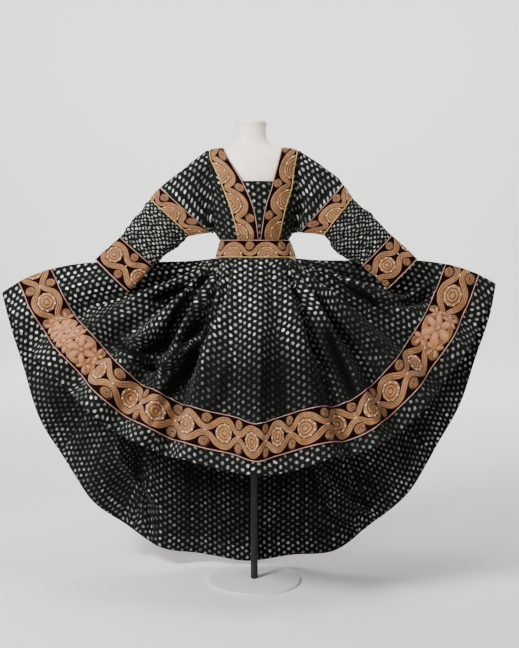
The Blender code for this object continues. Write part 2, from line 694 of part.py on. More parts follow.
def round_bar(radius, foot, head, sides, edge=0.0):
    """An upright round bar or plate between two real heights above the floor."""
    bm = bmesh.new()
    bmesh.ops.create_cone(bm, cap_ends=True, segments=sides, radius1=radius, radius2=radius,
                          depth=head - foot)
    bmesh.ops.translate(bm, verts=bm.verts, vec=(0, 0, (foot + head) / 2 - WAIST_HEIGHT))
    if edge:
        rims = [item for item in bm.edges if len({round(v.co.z, 5) for v in item.verts}) == 1]
        bmesh.ops.bevel(bm, geom=rims, offset=edge, affect="EDGES", segments=1,
                        profile=0.5, material=-1)
    return bm


def clear_scene():
    """Removes everything that the scene holds."""
    for item in list(bpy.data.objects):
        bpy.data.objects.remove(item, do_unlink=True)


def main():
    """Builds every piece in the dress's collection."""
    clear_scene()
    collection = bpy.data.collections.new("embroidered_dress_on_form")
    bpy.context.scene.collection.children.link(collection)
    form_foot = WAIST_HEIGHT + FORM_RINGS[0].height
    front = Skirt(SKIRT_FRONT_RAYS, SKIRT_FRONT_FOLDS, False, SKIRT_FRONT_COLUMNS,
                  FRONT_BORDER_ROWS)
    back = Skirt(SKIRT_BACK_RAYS, SKIRT_BACK_FOLDS, True, SKIRT_BACK_COLUMNS,
                 BACK_BORDER_ROWS)

    pole = round_bar(POLE_RADIUS, BASE_THICKNESS + SEAM, form_foot - SEAM, POLE_SIDES)
    base = round_bar(BASE_RADIUS, 0.0, BASE_THICKNESS, BASE_SIDES, BASE_EDGE)

    pieces = [
        ("form_torso", form_torso(), "form_shell"),
        ("form_pole", pole, "pole_paint"),
        ("form_base", base, "base_paint"),
        ("bodice_back", back_panel(), "dotted_georgette"),
        ("neck_insert", neck_insert(), "dotted_georgette"),
        ("waistband", waistband(), "gold_embroidery"),
        ("skirt_front", front.panel(), "dotted_georgette"),
        ("skirt_back", back.panel(), "dotted_georgette"),
        ("skirt_border_front", front.border(), "gold_embroidery"),
        ("skirt_border_back", back.border(), "gold_embroidery"),
    ]
    for word, side in (("right", -1), ("left", 1)):
        pieces.append(("bodice_front_" + word, front_panel(side), "dotted_georgette"))
        pieces.append(("neck_border_" + word, neck_border(side), "gold_embroidery"))
        for part in SLEEVE_PIECES:
            pieces.append((part.name + "_" + word, sleeve_piece(side, part), part.finish))
    for name, bm, finish_name in pieces:
        add_object(name, bm, finish_name, collection)


main()
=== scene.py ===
"""The looks of an embroidered dress, raised in front and long behind, on a dress form.

Metres, +Z up, with the front of the dress towards -Y and the wearer's left towards +X.
Heights are above the seam where the skirt meets the waistband until a piece is finished.
"""

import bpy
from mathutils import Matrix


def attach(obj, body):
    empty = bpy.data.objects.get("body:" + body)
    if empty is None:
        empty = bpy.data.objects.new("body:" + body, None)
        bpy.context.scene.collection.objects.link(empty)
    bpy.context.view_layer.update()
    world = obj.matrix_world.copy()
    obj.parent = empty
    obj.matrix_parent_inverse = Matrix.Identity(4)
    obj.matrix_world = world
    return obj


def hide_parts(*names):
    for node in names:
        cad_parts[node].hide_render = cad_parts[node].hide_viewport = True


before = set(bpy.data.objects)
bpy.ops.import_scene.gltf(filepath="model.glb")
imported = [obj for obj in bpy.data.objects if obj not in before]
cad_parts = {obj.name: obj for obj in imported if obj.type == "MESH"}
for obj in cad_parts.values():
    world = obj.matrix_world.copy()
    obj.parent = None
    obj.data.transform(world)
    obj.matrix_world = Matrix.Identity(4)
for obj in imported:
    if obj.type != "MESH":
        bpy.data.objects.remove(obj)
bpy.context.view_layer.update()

import math
from collections import namedtuple

import bmesh
import bpy
import numpy as np
from mathutils import Matrix, Vector

bl_info = {
    "name": "Embroidered dress on a form",
    "version": (1, 0, 0),
    "blender": (4, 5, 0),
    "location": "View3D > Sidebar > Dress",
    "description": "Builds the cloth, embroidery and dress form of a wide embroidered dress",
    "category": "Object",
}

# The least length that a vector is divided by
TINY = 1e-12

# Driving dimensions, the same as the solids have
WAIST_HEIGHT = 1.150
CLOTH = 0.002
SEAM = 0.0003
BORDER_WIDTH = 0.123
WAISTBAND_HEIGHT = 0.0617
WAIST_HALF_WIDTH = 0.1400
WAIST_HALF_DEPTH = 0.0975
WAIST_SHIFT = 0.0065
BAND_TOP_HALF_WIDTH = 0.1215
BAND_TOP_HALF_DEPTH = 0.0900
BAND_TOP_SHIFT = 0.0035
BODICE_FOOT = 0.0628
ARMHOLE_FOOT = 0.088
ARMHOLE_HEAD = 0.366
ARMHOLE_MIDDLE = (ARMHOLE_HEAD + ARMHOLE_FOOT) / 2
ARMHOLE_HALF_HEIGHT = (ARMHOLE_HEAD - ARMHOLE_FOOT) / 2
ARMHOLE_HALF_DEPTH = 0.040
NECK_HEAD = 0.3745
BACK_NECK_DIP = 0.024
BACK_NECK_ROUNDNESS = 0.7
BASE_RADIUS = 0.165
BASE_THICKNESS = 0.008
POLE_RADIUS = 0.0125
FOLD_FREE_EDGE = 0.05
PARTED_EDGE = 0.03
BULGE_SCALE = 27 / 4
ROOT_BLEND = 0.14

# Steps to a surface's neighbouring places, as shares of it and as a height in metres
SURFACE_STEP = 0.002
SLEEVE_STEP = 0.004
HEIGHT_STEP = 0.0005

# Where the front panels end and the neck insert starts and ends
PANEL_HEAD = ARMHOLE_HEAD - 0.002
INSERT_FOOT = BODICE_FOOT + 0.0020
INSERT_HEAD = 0.2570

# The share of a point's distance from the body's axis where the point inside it is taken
AXIS_SHARE = 0.2

Ring = namedtuple("Ring", "height half_width half_depth shift")
FORM_RINGS = [
    Ring(-0.2700, 0.1250, 0.0850, 0.000),
    Ring(-0.2550, 0.1470, 0.1010, 0.000),
    Ring(-0.2200, 0.1560, 0.1080, 0.000),
    Ring(-0.1500, 0.1560, 0.1090, 0.000),
    Ring(-0.0700, 0.1430, 0.1000, 0.000),
    Ring(0.0000, 0.1240, 0.0870, 0.000),
    Ring(0.0600, 0.1110, 0.0820, 0.000),
    Ring(0.1300, 0.1210, 0.0900, 0.000),
    Ring(0.2000, 0.1340, 0.1000, 0.000),
    Ring(0.2550, 0.1430, 0.1050, 0.000),
    Ring(0.3000, 0.1510, 0.0990, 0.000),
    Ring(0.3350, 0.1590, 0.0880, 0.000),
    Ring(0.3520, 0.1615, 0.0800, 0.000),
    Ring(0.3620, 0.1600, 0.0750, 0.000),
    Ring(0.3675, 0.1500, 0.0710, 0.000),
    Ring(0.3715, 0.1310, 0.0670, 0.000),
    Ring(0.3750, 0.1080, 0.0620, -0.002),
    Ring(0.3810, 0.0860, 0.0570, -0.004),
    Ring(0.3910, 0.0680, 0.0530, -0.007),
    Ring(0.4060, 0.0560, 0.0500, -0.008),
    Ring(0.4280, 0.0505, 0.0480, -0.009),
    Ring(0.4500, 0.0515, 0.0480, -0.009),
    Ring(0.4640, 0.0540, 0.0500, -0.009),
    Ring(0.4690, 0.0520, 0.0480, -0.009),
]

# Space between the form and the inside of the bodice
Ease = namedtuple("Ease", "height ease")
BODICE_EASE = [
    Ease(0.060, 0.0072),
    Ease(0.088, 0.0200),
    Ease(0.150, 0.0250),
    Ease(0.230, 0.0210),
    Ease(0.290, 0.0090),
    Ease(0.335, 0.0040),
    Ease(0.355, 0.0034),
    Ease(0.366, 0.0030),
    Ease(0.376, 0.0013),
]

# Sideways places of the neck borders' two edges
NeckEdge = namedtuple("NeckEdge", "height inner outer")
NECK_BORDER_RIGHT = [
    NeckEdge(0.060, 0.0150, -0.0490),
    NeckEdge(0.118, 0.0095, -0.0560),
    NeckEdge(0.180, -0.0020, -0.0720),
    NeckEdge(0.240, -0.0260, -0.0950),
    NeckEdge(0.300, -0.0620, -0.1260),
    NeckEdge(0.340, -0.0870, -0.1460),
    NeckEdge(0.366, -0.1000, -0.1500),
    NeckEdge(0.376, -0.1030, -0.1600),
]
NECK_BORDER_LEFT = [
    NeckEdge(0.060, 0.0188, 0.0770),
    NeckEdge(0.118, 0.0240, 0.0820),
    NeckEdge(0.180, 0.0340, 0.0950),
    NeckEdge(0.240, 0.0530, 0.1150),
    NeckEdge(0.300, 0.0720, 0.1310),
    NeckEdge(0.340, 0.0840, 0.1420),
    NeckEdge(0.366, 0.0910, 0.1480),
    NeckEdge(0.376, 0.0930, 0.1560),
]

# Sleeve sections: the highest and lowest point of the tube and how deep it is
Section = namedtuple("Section", "along top_x top_z low_x low_z mid_y half_depth")
SLEEVE_RIGHT = [
    Section(0.00, -0.160, 0.368, -0.138, 0.090, -0.004, 0.052),
    Section(0.18, -0.244, 0.309, -0.144, 0.0885, -0.020, 0.048),
    Section(0.36, -0.321, 0.241, -0.151, 0.0880, -0.035, 0.043),
    Section(0.47, -0.356, 0.199, -0.220, 0.0760, -0.050, 0.038),
    Section(0.62, -0.402, 0.141, -0.266, 0.0360, -0.065, 0.035),
    Section(0.80, -0.455, 0.0725, -0.345, -0.0256, -0.074, 0.027),
    Section(1.00, -0.541, -0.0058, -0.430, -0.1153, -0.082, 0.024),
]
SLEEVE_LEFT = [
    Section(0.00, 0.158, 0.368, 0.140, 0.090, -0.004, 0.052),
    Section(0.18, 0.237, 0.316, 0.148, 0.0885, -0.020, 0.048),
    Section(0.36, 0.306, 0.251, 0.157, 0.0880, -0.035, 0.043),
    Section(0.47, 0.337, 0.2045, 0.240, 0.0780, -0.050, 0.038),
    Section(0.62, 0.402, 0.144, 0.281, 0.0206, -0.065, 0.035),
    Section(0.80, 0.469, 0.0776, 0.369, -0.0260, -0.068, 0.027),
    Section(1.00, 0.558, -0.0048, 0.461, -0.1044, -0.073, 0.024),
]
# The share of the way down the sleeve where each of its pieces starts and ends
UPPER_SLEEVE = (0.0, 0.357)
SLEEVE_BAND = (0.47, 0.36)
LOWER_SLEEVE = (0.4705, 0.797)
CUFF = (1.0, 0.80)

# Ripples of the cloth: height, radians of their wave across and along a piece, the wave's
# start in radians, and how far that lies from the middle on the wearer's left
Ripple = namedtuple("Ripple", "height across along start lean")
PANEL_RIPPLES = (Ripple(0.003, 9, 7, 0.0, 1.0),)
BACK_RIPPLES = (Ripple(0.0035, 7, 5, 0.0, 0.0), Ripple(0.0025, 13, -9, 1.0, 0.0))
SLEEVE_RIPPLES = (Ripple(0.0028, 3, 4, 0.0, 1.0), Ripple(0.002, 7, -8, 0.0, 0.0))
CRINKLES = (Ripple(0.0022, 5, 9, 0.0, 1.0), Ripple(0.0018, 8, -17, 0.0, 2.1))
FINE_CRINKLES = (Ripple(0.0014, 13, 31, 0.7, 0.0),)

# How strong the fine crinkles are from place to place
CRINKLE_PATCHES = (Ripple(1.0, 6, 11, 0.0, 0.0),)

# Single folds: height out of the cloth, place across them, slant and half width
Dent = namedtuple("Dent", "height place slant width")
PANEL_DENTS = (Dent(-0.006, 0.72, -0.2, 0.16),)
SLEEVE_DENTS = (Dent(-0.009, 0.22, 0.4, 0.13), Dent(0.006, 0.58, 0.0, 0.14))

# Where the upper sleeves' single folds lie round them: how strong, place, slant, half width
SLEEVE_FRONT = (Dent(1.0, 0.22, 0.0, 0.10),)

# The shares of a piece or line, at its start and its end, over which its folds rise
PANEL_ACROSS_RISE = (0.25, 0.12)
PANEL_UP_RISE = (0.10, 0.35)
BACK_ACROSS_RISE = (0.15, 0.15)
BACK_UP_RISE = (0.12, 0.20)
UPPER_SLEEVE_RISE = (0.15, 0.15)
LOWER_SLEEVE_RISE = (0.12, 0.12)
CREASE_RISE = (0.20, 0.20)
SHADOW_RISE = (0.25, 0.20)

# Skirt rays: where each meets the waist and the hem, the plain strip below the border,
# and how far the cloth stands out of a straight line near the waist and near the hem
Ray = namedtuple("Ray", "along turn x y z strip puff lift")
SKIRT_FRONT_RAYS = [
    Ray(0.000, 0, -0.878, -0.020, -0.122, 0.062, 0.000, 0.058),
    Ray(0.095, 12, -0.774, -0.100, -0.297, 0.066, 0.000, 0.034),
    Ray(0.171, 20, -0.659, -0.170, -0.408, 0.066, 0.004, 0.020),
    Ray(0.249, 28, -0.531, -0.240, -0.514, 0.060, 0.008, 0.010),
    Ray(0.327, 37, -0.381, -0.290, -0.598, 0.058, 0.018, 0.005),
    Ray(0.409, 56, -0.203, -0.340, -0.649, 0.055, 0.030, 0.004),
    Ray(0.460, 74, -0.093, -0.375, -0.667, 0.055, 0.036, 0.004),
    Ray(0.506, 91, 0.011, -0.390, -0.683, 0.048, 0.040, 0.004),
    Ray(0.560, 108, 0.134, -0.375, -0.667, 0.060, 0.036, 0.004),
    Ray(0.625, 127, 0.276, -0.340, -0.630, 0.058, 0.028, 0.004),
    Ray(0.686, 141, 0.409, -0.290, -0.604, 0.058, 0.018, 0.006),
    Ray(0.760, 151, 0.546, -0.240, -0.511, 0.060, 0.010, 0.010),
    Ray(0.840, 160, 0.663, -0.170, -0.388, 0.062, 0.004, 0.018),
    Ray(0.922, 169, 0.767, -0.100, -0.245, 0.064, 0.000, 0.030),
    Ray(1.000, 180, 0.842, -0.020, -0.091, 0.062, 0.000, 0.048),
]
SKIRT_BACK_RAYS = [
    Ray(0.000, 0, -0.878, -0.020, -0.122, 0.062, 0.000, 0.058),
    Ray(0.041, 6, -0.863, 0.024, -0.237, 0.064, 0.000, 0.052),
    Ray(0.084, 12, -0.838, 0.056, -0.358, 0.066, 0.004, 0.044),
    Ray(0.135, 19, -0.800, 0.083, -0.506, 0.066, 0.010, 0.034),
    Ray(0.189, 26, -0.746, 0.106, -0.657, 0.066, 0.018, 0.026),
    Ray(0.247, 34, -0.656, 0.125, -0.805, 0.066, 0.026, 0.020),
    Ray(0.309, 44, -0.539, 0.140, -0.948, 0.066, 0.034, 0.014),
    Ray(0.368, 55, -0.393, 0.151, -1.049, 0.066, 0.040, 0.010),
    Ray(0.432, 71, -0.211, 0.158, -1.108, 0.066, 0.044, 0.008),
    Ray(0.495, 90, -0.024, 0.160, -1.124, 0.066, 0.046, 0.008),
    Ray(0.549, 106, 0.137, 0.158, -1.116, 0.066, 0.044, 0.008),
    Ray(0.599, 120, 0.286, 0.151, -1.084, 0.066, 0.040, 0.010),
    Ray(0.662, 135, 0.444, 0.140, -0.986, 0.066, 0.034, 0.014),
    Ray(0.720, 145, 0.563, 0.125, -0.858, 0.066, 0.026, 0.020),
    Ray(0.785, 154, 0.667, 0.106, -0.694, 0.066, 0.018, 0.024),
    Ray(0.850, 162, 0.744, 0.083, -0.517, 0.066, 0.010, 0.030),
    Ray(0.909, 169, 0.797, 0.056, -0.347, 0.066, 0.004, 0.038),
    Ray(0.960, 175, 0.833, 0.024, -0.202, 0.064, 0.000, 0.044),
    Ray(1.000, 180, 0.842, -0.020, -0.091, 0.062, 0.000, 0.048),
]

# Skirt folds: place along the hem, half width, height out of the cloth (valleys below
# zero), how far the line drifts by the hem, and where down the skirt it has its full height
Fold = namedtuple("Fold", "along width height drift full")
SKIRT_FRONT_FOLDS = [
    Fold(0.056, 0.022, 0.015, -0.010, 0.33),
    Fold(0.102, 0.022, -0.035, -0.012, 0.28),
    Fold(0.150, 0.022, 0.020, -0.010, 0.33),
    Fold(0.196, 0.022, -0.040, -0.008, 0.38),
    Fold(0.240, 0.022, 0.022, 0.000, 0.38),
    Fold(0.290, 0.020, -0.050, -0.006, 0.43),
    Fold(0.328, 0.020, 0.030, 0.004, 0.43),
    Fold(0.368, 0.018, -0.053, 0.000, 0.38),
    Fold(0.405, 0.022, 0.018, 0.000, 0.43),
    Fold(0.452, 0.022, -0.015, 0.000, 0.43),
    Fold(0.505, 0.024, 0.015, 0.000, 0.48),
    Fold(0.558, 0.022, -0.013, 0.000, 0.48),
    Fold(0.600, 0.022, 0.015, 0.000, 0.43),
    Fold(0.640, 0.018, -0.055, 0.006, 0.33),
    Fold(0.678, 0.020, 0.035, 0.006, 0.38),
    Fold(0.724, 0.022, -0.043, 0.004, 0.38),
    Fold(0.770, 0.022, 0.022, 0.004, 0.38),
    Fold(0.822, 0.022, -0.043, 0.004, 0.33),
    Fold(0.872, 0.022, 0.022, 0.010, 0.33),
    Fold(0.915, 0.020, -0.022, 0.014, 0.28),
]
SKIRT_BACK_FOLDS = [
    Fold(0.090, 0.030, 0.014, 0.000, 0.50),
    Fold(0.150, 0.028, -0.020, 0.000, 0.50),
    Fold(0.212, 0.028, 0.022, 0.000, 0.60),
    Fold(0.272, 0.026, -0.028, 0.006, 0.65),
    Fold(0.330, 0.026, 0.026, 0.004, 0.65),
    Fold(0.386, 0.024, -0.026, 0.000, 0.70),
    Fold(0.440, 0.026, 0.024, 0.000, 0.70),
    Fold(0.494, 0.024, -0.022, 0.000, 0.70),
    Fold(0.548, 0.026, 0.024, 0.000, 0.70),
    Fold(0.606, 0.024, -0.028, 0.000, 0.65),
    Fold(0.664, 0.026, 0.026, -0.004, 0.65),
    Fold(0.726, 0.026, -0.026, -0.004, 0.60),
    Fold(0.788, 0.028, 0.022, 0.000, 0.60),
    Fold(0.850, 0.028, -0.020, 0.000, 0.50),
    Fold(0.912, 0.028, 0.012, 0.000, 0.50),
]

# Creases that the solids leave out: height out of the cloth (valleys below zero), half
# width in metres, and the places that each passes, along the hem and down the skirt
Crease = namedtuple("Crease", "height width places")
SKIRT_FRONT_CREASES = [
    Crease(-0.023, 0.015, [(0.278, 0.15), (0.288, 0.30), (0.298, 0.45), (0.281, 0.54),
                           (0.250, 0.61), (0.212, 0.65), (0.165, 0.66)]),
    Crease(-0.019, 0.012, [(0.362, 0.22), (0.358, 0.33), (0.344, 0.44), (0.319, 0.56),
                           (0.297, 0.63), (0.262, 0.67), (0.225, 0.69)]),
    Crease(-0.029, 0.010, [(0.415, 0.08), (0.412, 0.20), (0.394, 0.40), (0.369, 0.56),
                           (0.356, 0.68), (0.343, 0.78), (0.338, 1.02)]),
    Crease(-0.016, 0.013, [(0.305, 0.05), (0.275, 0.15), (0.206, 0.28), (0.165, 0.38),
                           (0.152, 0.50), (0.131, 0.61)]),
    Crease(-0.014, 0.013, [(0.035, 0.73), (0.106, 0.70), (0.163, 0.69), (0.200, 0.69)]),
    Crease(0.014, 0.014, [(0.270, 0.07), (0.206, 0.18), (0.163, 0.29), (0.131, 0.39),
                          (0.119, 0.53)]),
    Crease(0.019, 0.013, [(0.262, 0.27), (0.262, 0.41), (0.252, 0.54), (0.222, 0.60),
                          (0.172, 0.63)]),
    Crease(0.019, 0.013, [(0.376, 0.20), (0.378, 0.33), (0.362, 0.48), (0.335, 0.60),
                          (0.310, 0.67), (0.272, 0.72)]),
    Crease(0.014, 0.020, [(0.455, 0.45), (0.440, 0.62), (0.430, 0.76)]),
    Crease(0.013, 0.016, [(0.512, 0.30), (0.512, 0.60), (0.508, 1.02)]),
    Crease(-0.020, 0.012, [(0.850, 0.03), (0.879, 0.13), (0.876, 0.24), (0.863, 0.37),
                           (0.842, 0.45), (0.815, 0.52)]),
    Crease(-0.029, 0.010, [(0.626, 0.12), (0.631, 0.24), (0.638, 0.38), (0.650, 0.49),
                           (0.661, 0.61), (0.664, 0.71), (0.671, 0.79), (0.676, 1.02)]),
    Crease(0.014, 0.012, [(0.668, 0.35), (0.678, 0.55), (0.690, 0.72), (0.700, 0.84)]),
    Crease(-0.020, 0.024, [(0.712, 0.20), (0.725, 0.34), (0.738, 0.48), (0.756, 0.62),
                           (0.772, 0.71)]),
    Crease(0.019, 0.013, [(0.900, 0.05), (0.908, 0.14), (0.906, 0.28), (0.894, 0.39),
                          (0.900, 0.56), (0.935, 0.64), (0.975, 0.71)]),
    Crease(-0.019, 0.012, [(0.852, 0.42), (0.868, 0.52), (0.885, 0.60), (0.919, 0.67),
                           (0.960, 0.74)]),
    Crease(-0.012, 0.009, [(0.930, 0.22), (0.930, 0.36), (0.922, 0.50)]),
    Crease(0.013, 0.014, [(0.750, 0.18), (0.775, 0.30), (0.800, 0.42), (0.810, 0.55)]),
]
SKIRT_BACK_CREASES = [
    Crease(-0.023, 0.016, [(0.262, 0.66), (0.292, 0.79), (0.342, 0.84), (0.392, 0.88)]),
    Crease(0.023, 0.014, [(0.300, 0.62), (0.318, 0.76), (0.358, 0.90), (0.372, 1.02)]),
    Crease(-0.023, 0.014, [(0.590, 0.58), (0.602, 0.70), (0.637, 0.87), (0.684, 1.02)]),
    Crease(0.020, 0.014, [(0.572, 0.60), (0.584, 0.74), (0.612, 0.90), (0.650, 1.02)]),
    Crease(-0.014, 0.014, [(0.635, 0.66), (0.655, 0.80), (0.668, 0.92)]),
    Crease(-0.013, 0.018, [(0.440, 0.72), (0.446, 0.86), (0.442, 1.02)]),
    Crease(0.013, 0.018, [(0.500, 0.60), (0.508, 0.80), (0.516, 1.02)]),
    Crease(0.014, 0.016, [(0.150, 0.20), (0.130, 0.45), (0.118, 0.75), (0.110, 1.02)]),
    Crease(-0.014, 0.016, [(0.770, 0.15), (0.800, 0.40), (0.815, 0.70), (0.822, 1.02)]),
    Crease(0.014, 0.016, [(0.700, 0.20), (0.722, 0.45), (0.745, 0.75), (0.752, 1.02)]),
    Crease(-0.013, 0.016, [(0.225, 0.15), (0.222, 0.45), (0.228, 0.80), (0.226, 1.02)]),
]

# Painted shade in sharp creases and hollows, and painted shadows: how dark, half width in
# metres, and the places that each passes, and how deep the darkest of them lie, in metres
Shadow = namedtuple("Shadow", "dark width places")
SHADOW_DEPTH = 0.005

# Painted highlight: how much brighter the strip below the border is painted, and over what
# share of the skirt
STRIP_GLINT = 0.5
STRIP_BLEND = 0.01
SKIRT_FRONT_SHADOWS = [
    Shadow(1.0, 0.008, [(0.300, 0.05), (0.262, 0.13), (0.257, 0.24), (0.263, 0.35),
                        (0.270, 0.42), (0.267, 0.53)]),
    Shadow(1.0, 0.010, [(0.372, 0.04), (0.362, 0.17), (0.380, 0.30), (0.383, 0.38),
                        (0.365, 0.48), (0.354, 0.62), (0.345, 0.70), (0.335, 0.80)]),
    Shadow(1.0, 0.013, [(0.165, 0.67), (0.207, 0.66), (0.247, 0.64), (0.262, 0.58),
                        (0.275, 0.50), (0.280, 0.40)]),
    Shadow(1.0, 0.011, [(0.245, 0.67), (0.277, 0.65), (0.322, 0.62), (0.337, 0.54),
                        (0.341, 0.46), (0.349, 0.37), (0.355, 0.27)]),
    Shadow(1.0, 0.007, [(0.235, 0.10), (0.195, 0.20), (0.170, 0.32), (0.155, 0.42)]),
    Shadow(1.0, 0.010, [(0.672, 0.33), (0.668, 0.48), (0.672, 0.64), (0.674, 0.78)]),
    Shadow(1.0, 0.008, [(0.905, 0.10), (0.872, 0.26), (0.863, 0.44), (0.850, 0.62)]),
    Shadow(1.0, 0.007, [(0.800, 0.10), (0.790, 0.24), (0.782, 0.36)]),
    # Painted shade over the middle of the front, low down
    Shadow(0.50, 0.110, [(0.400, 0.52), (0.450, 0.58), (0.510, 0.60), (0.570, 0.58),
                         (0.630, 0.52)]),
]
# The shadow that the front hem casts on the back's inside, painted
SKIRT_BACK_SHADOWS = [
    Shadow(0.40, 0.055, [(0.330, 0.66), (0.400, 0.72), (0.480, 0.745), (0.560, 0.73),
                         (0.640, 0.67)]),
]

# Fine gathers at the waist: waves along the half skirt, height and phase, and the shares
# of the way down the skirt where they have their full height and where they end
Wave = namedtuple("Wave", "count height phase")
WAIST_WAVES = [Wave(14, 0.0050, 0.0), Wave(23, 0.0034, 1.1), Wave(37, 0.0020, 2.3)]
GATHERS_RISE = 0.06
GATHERS_END = 0.45

# The flat cut of each half: the radius of its waist in metres, its angle in radians, and
# the steps between two places of a crease on it
FLAT_WAIST_RADIUS = 0.12
FLAT_ANGLE = 3.0
LINE_STEPS = 4

# Sideways and upward parts of the directions that are outside the skirt
OUTSIDE_ACROSS = 0.3
OUTSIDE_UP = 0.6

# Gores of each half: the places along the hem where they are sewn together, and how far
# the pattern of one gore is moved from the next
FRONT_GORES = (0.0, 0.095, 0.205, 0.350, 0.650, 0.775, 0.885, 1.0)
BACK_GORES = (0.0, 0.110, 0.215, 0.345, 0.640, 0.770, 0.880, 1.0)
GORE_OFFSET = 0.37

# Where the photo shows medallions along the skirt's front, as places along the hem
FRONT_MEDALLIONS = (0.056, 0.110, 0.162, 0.212, 0.281, 0.338, 0.394, 0.456, 0.500, 0.537,
                    0.581, 0.644, 0.694, 0.744, 0.812, 0.880, 0.950)
FRONT_FLOWERED = (1, 2, 15)

# How much lower than straight the front border is sewn, along the hem: it bends in points
Drop = namedtuple("Drop", "along drop")
FRONT_DROPS = [
    Drop(0.000, 0.000),
    Drop(0.350, 0.000),
    Drop(0.405, 0.005),
    Drop(0.480, 0.000),
    Drop(0.506, 0.008),
    Drop(0.530, 0.000),
    Drop(0.575, 0.002),
    Drop(0.625, 0.012),
    Drop(0.668, 0.011),
    Drop(0.700, 0.000),
    Drop(1.000, 0.000),
]
BACK_DROPS = [Drop(0.000, 0.000), Drop(1.000, 0.000)]

# Where medallions stand on the other borders: the heights of all of them on the neck, and
# the first one's share of the way round on the waistband, sleeve bands and cuffs
NECK_MEDALLIONS_RIGHT = (0.084, 0.188, 0.281, 0.375)
NECK_MEDALLIONS_LEFT = (0.092, 0.201, 0.301, 0.395)
WAIST_MEDALLION = 0.6520
SLEEVE_MEDALLION = {-1: 0.265, 1: 0.240}
CUFF_MEDALLION = {-1: 0.075, 1: 0.215}
WAIST_REPEATS = 6
SLEEVE_REPEATS = 4
CUFF_REPEATS = 3

# Repeats beyond an open border's known ones, and what is cut off at its ends, in metres
EXTRA_REPEATS = 2
END_CUT = 0.001

# The wearer's right and left
SIDES = ((-1, "right"), (1, "left"))

# For each piece of cloth: the grid that its surface is worked out on, and its mesh's faces
Grid = namedtuple("Grid", "along across columns rows")
BACK_GRID = Grid(180, 140, 90, 70)
PANEL_GRID = Grid(60, 160, 24, 70)
INSERT_GRID = Grid(40, 80, 20, 36)
NECK_GRID = Grid(220, 20, 90, 20)
WAISTBAND_GRID = Grid(360, 20, 144, 14)
UPPER_SLEEVE_GRID = Grid(240, 90, 120, 60)
LOWER_SLEEVE_GRID = Grid(300, 120, 150, 90)
SLEEVE_BAND_GRID = Grid(240, 20, 120, 14)
CUFF_GRID = Grid(240, 24, 120, 14)
SKIRT_FRONT_GRID = Grid(1000, 330, 330, 130)
SKIRT_BACK_GRID = Grid(1000, 360, 330, 140)
SKIRT_BORDER_GRID = Grid(1600, 24, 400, 20)

# The form's mesh, and the insets of its flat ends as shares of a width in metres
FORM_COLUMNS = 96
FORM_STEPS = 5
FORM_INSETS = (0.30, 0.62, 0.86, 0.97)
FORM_INSET_WIDTH = 0.006

# The form's stand: lowest and highest level, rounding of the edges, slot and finish
Stand = namedtuple("Stand", "name radius low high edge slot colour roughness")
STAND = (
    Stand("form_pole", POLE_RADIUS, BASE_THICKNESS + SEAM - WAIST_HEIGHT,
          FORM_RINGS[0].height - SEAM, 0.0004, "pole_paint", (0.006, 0.006, 0.006), 0.75),
    Stand("form_base", BASE_RADIUS, -WAIST_HEIGHT, BASE_THICKNESS - WAIST_HEIGHT, 0.002,
          "base_paint", (0.78, 0.77, 0.74), 0.38),
)
STAND_SIDES = 128
EDGE_STEPS = 3
SHARP_ANGLE = math.radians(40)
LEVEL_DIGITS = 5

# The backdrop: a floor that goes over into a wall in a round cove
FLOOR_FRONT = -10.0
FLOOR_BACK = 8.0
FLOOR_RUN = FLOOR_BACK - FLOOR_FRONT
FLOOR_SUNK = 0.0005
COVE_RADIUS = 2.0
COVE_RUN = 3.0
WALL_RUN = 7.0
BACKDROP_WIDTH = 80.0
BACKDROP_STEPS = 84
BACKDROP_COLOUR = (0.86, 0.86, 0.86)
BACKDROP_ROUGHNESS = 0.9

WORLD_COLOUR = (1.0, 0.87, 0.70, 1.0)
WORLD_STRENGTH = 0.18
Lamp = namedtuple("Lamp", "name place aim size energy")
LAMPS = (
    Lamp("key", (-2.0, -1.9, 2.8), (0.0, -0.1, 0.85), 0.7, 185.0),
    Lamp("front", (-0.7, -3.9, 2.0), (0.0, 0.1, 0.5), 0.5, 55.0),
    Lamp("top", (0.5, -0.7, 3.5), (0.0, 0.0, 1.0), 1.0, 50.0),
    Lamp("rear", (1.0, 3.2, 3.4), (0.0, 0.1, 0.8), 1.6, 45.0),
    Lamp("backdrop_left", (-3.4, 4.5, 5.2), (-1.6, 9.0, 1.6), 4.0, 560.0),
    Lamp("backdrop_right", (3.4, 4.5, 5.2), (1.6, 9.0, 1.6), 4.0, 560.0),
)

# The camera: its place, its angle up from straight down, its sensor in millimetres, and
# its focal length and the picture's width in pixels
CAMERA_PLACE = (0.019, -3.4, 1.160)
CAMERA_TILT = math.radians(90 - 4.07)
SENSOR_WIDTH = 36.0
FOCAL_PIXELS = 971.0
PICTURE_PIXELS = 519.0


def read(table, at, column):
    """The smooth values of one column of a table, at places along its first column."""
    rows = np.array([row[0] for row in table], float)
    values = np.array([getattr(row, column) for row in table], float)
    last = len(rows) - 1
    at = np.clip(at, rows[0], rows[last])
    low = np.clip(np.searchsorted(rows[1:], at), 0, last - 1)
    before, after = np.maximum(low - 1, 0), np.minimum(low + 2, last)
    span = rows[low + 1] - rows[low]
    start, end = values[low], values[low + 1]
    slope_in = (end - values[before]) / (rows[low + 1] - rows[before]) * span
    slope_out = (values[after] - start) / (rows[after] - rows[low]) * span
    t = (at - rows[low]) / span
    cubic = 2 * (start - end) + slope_in + slope_out
    square = 3 * (end - start) - 2 * slope_in - slope_out
    return ((cubic * t + square) * t + slope_in) * t + start


def mix(low, high, share):
    """The value that lies a share of the way from low to high."""
    return low + (high - low) * share


def ease(share):
    """A smooth step from 0 to 1 as a share goes from 0 to 1."""
    share = np.clip(share, 0.0, 1.0)
    return share * share * (3 - 2 * share)


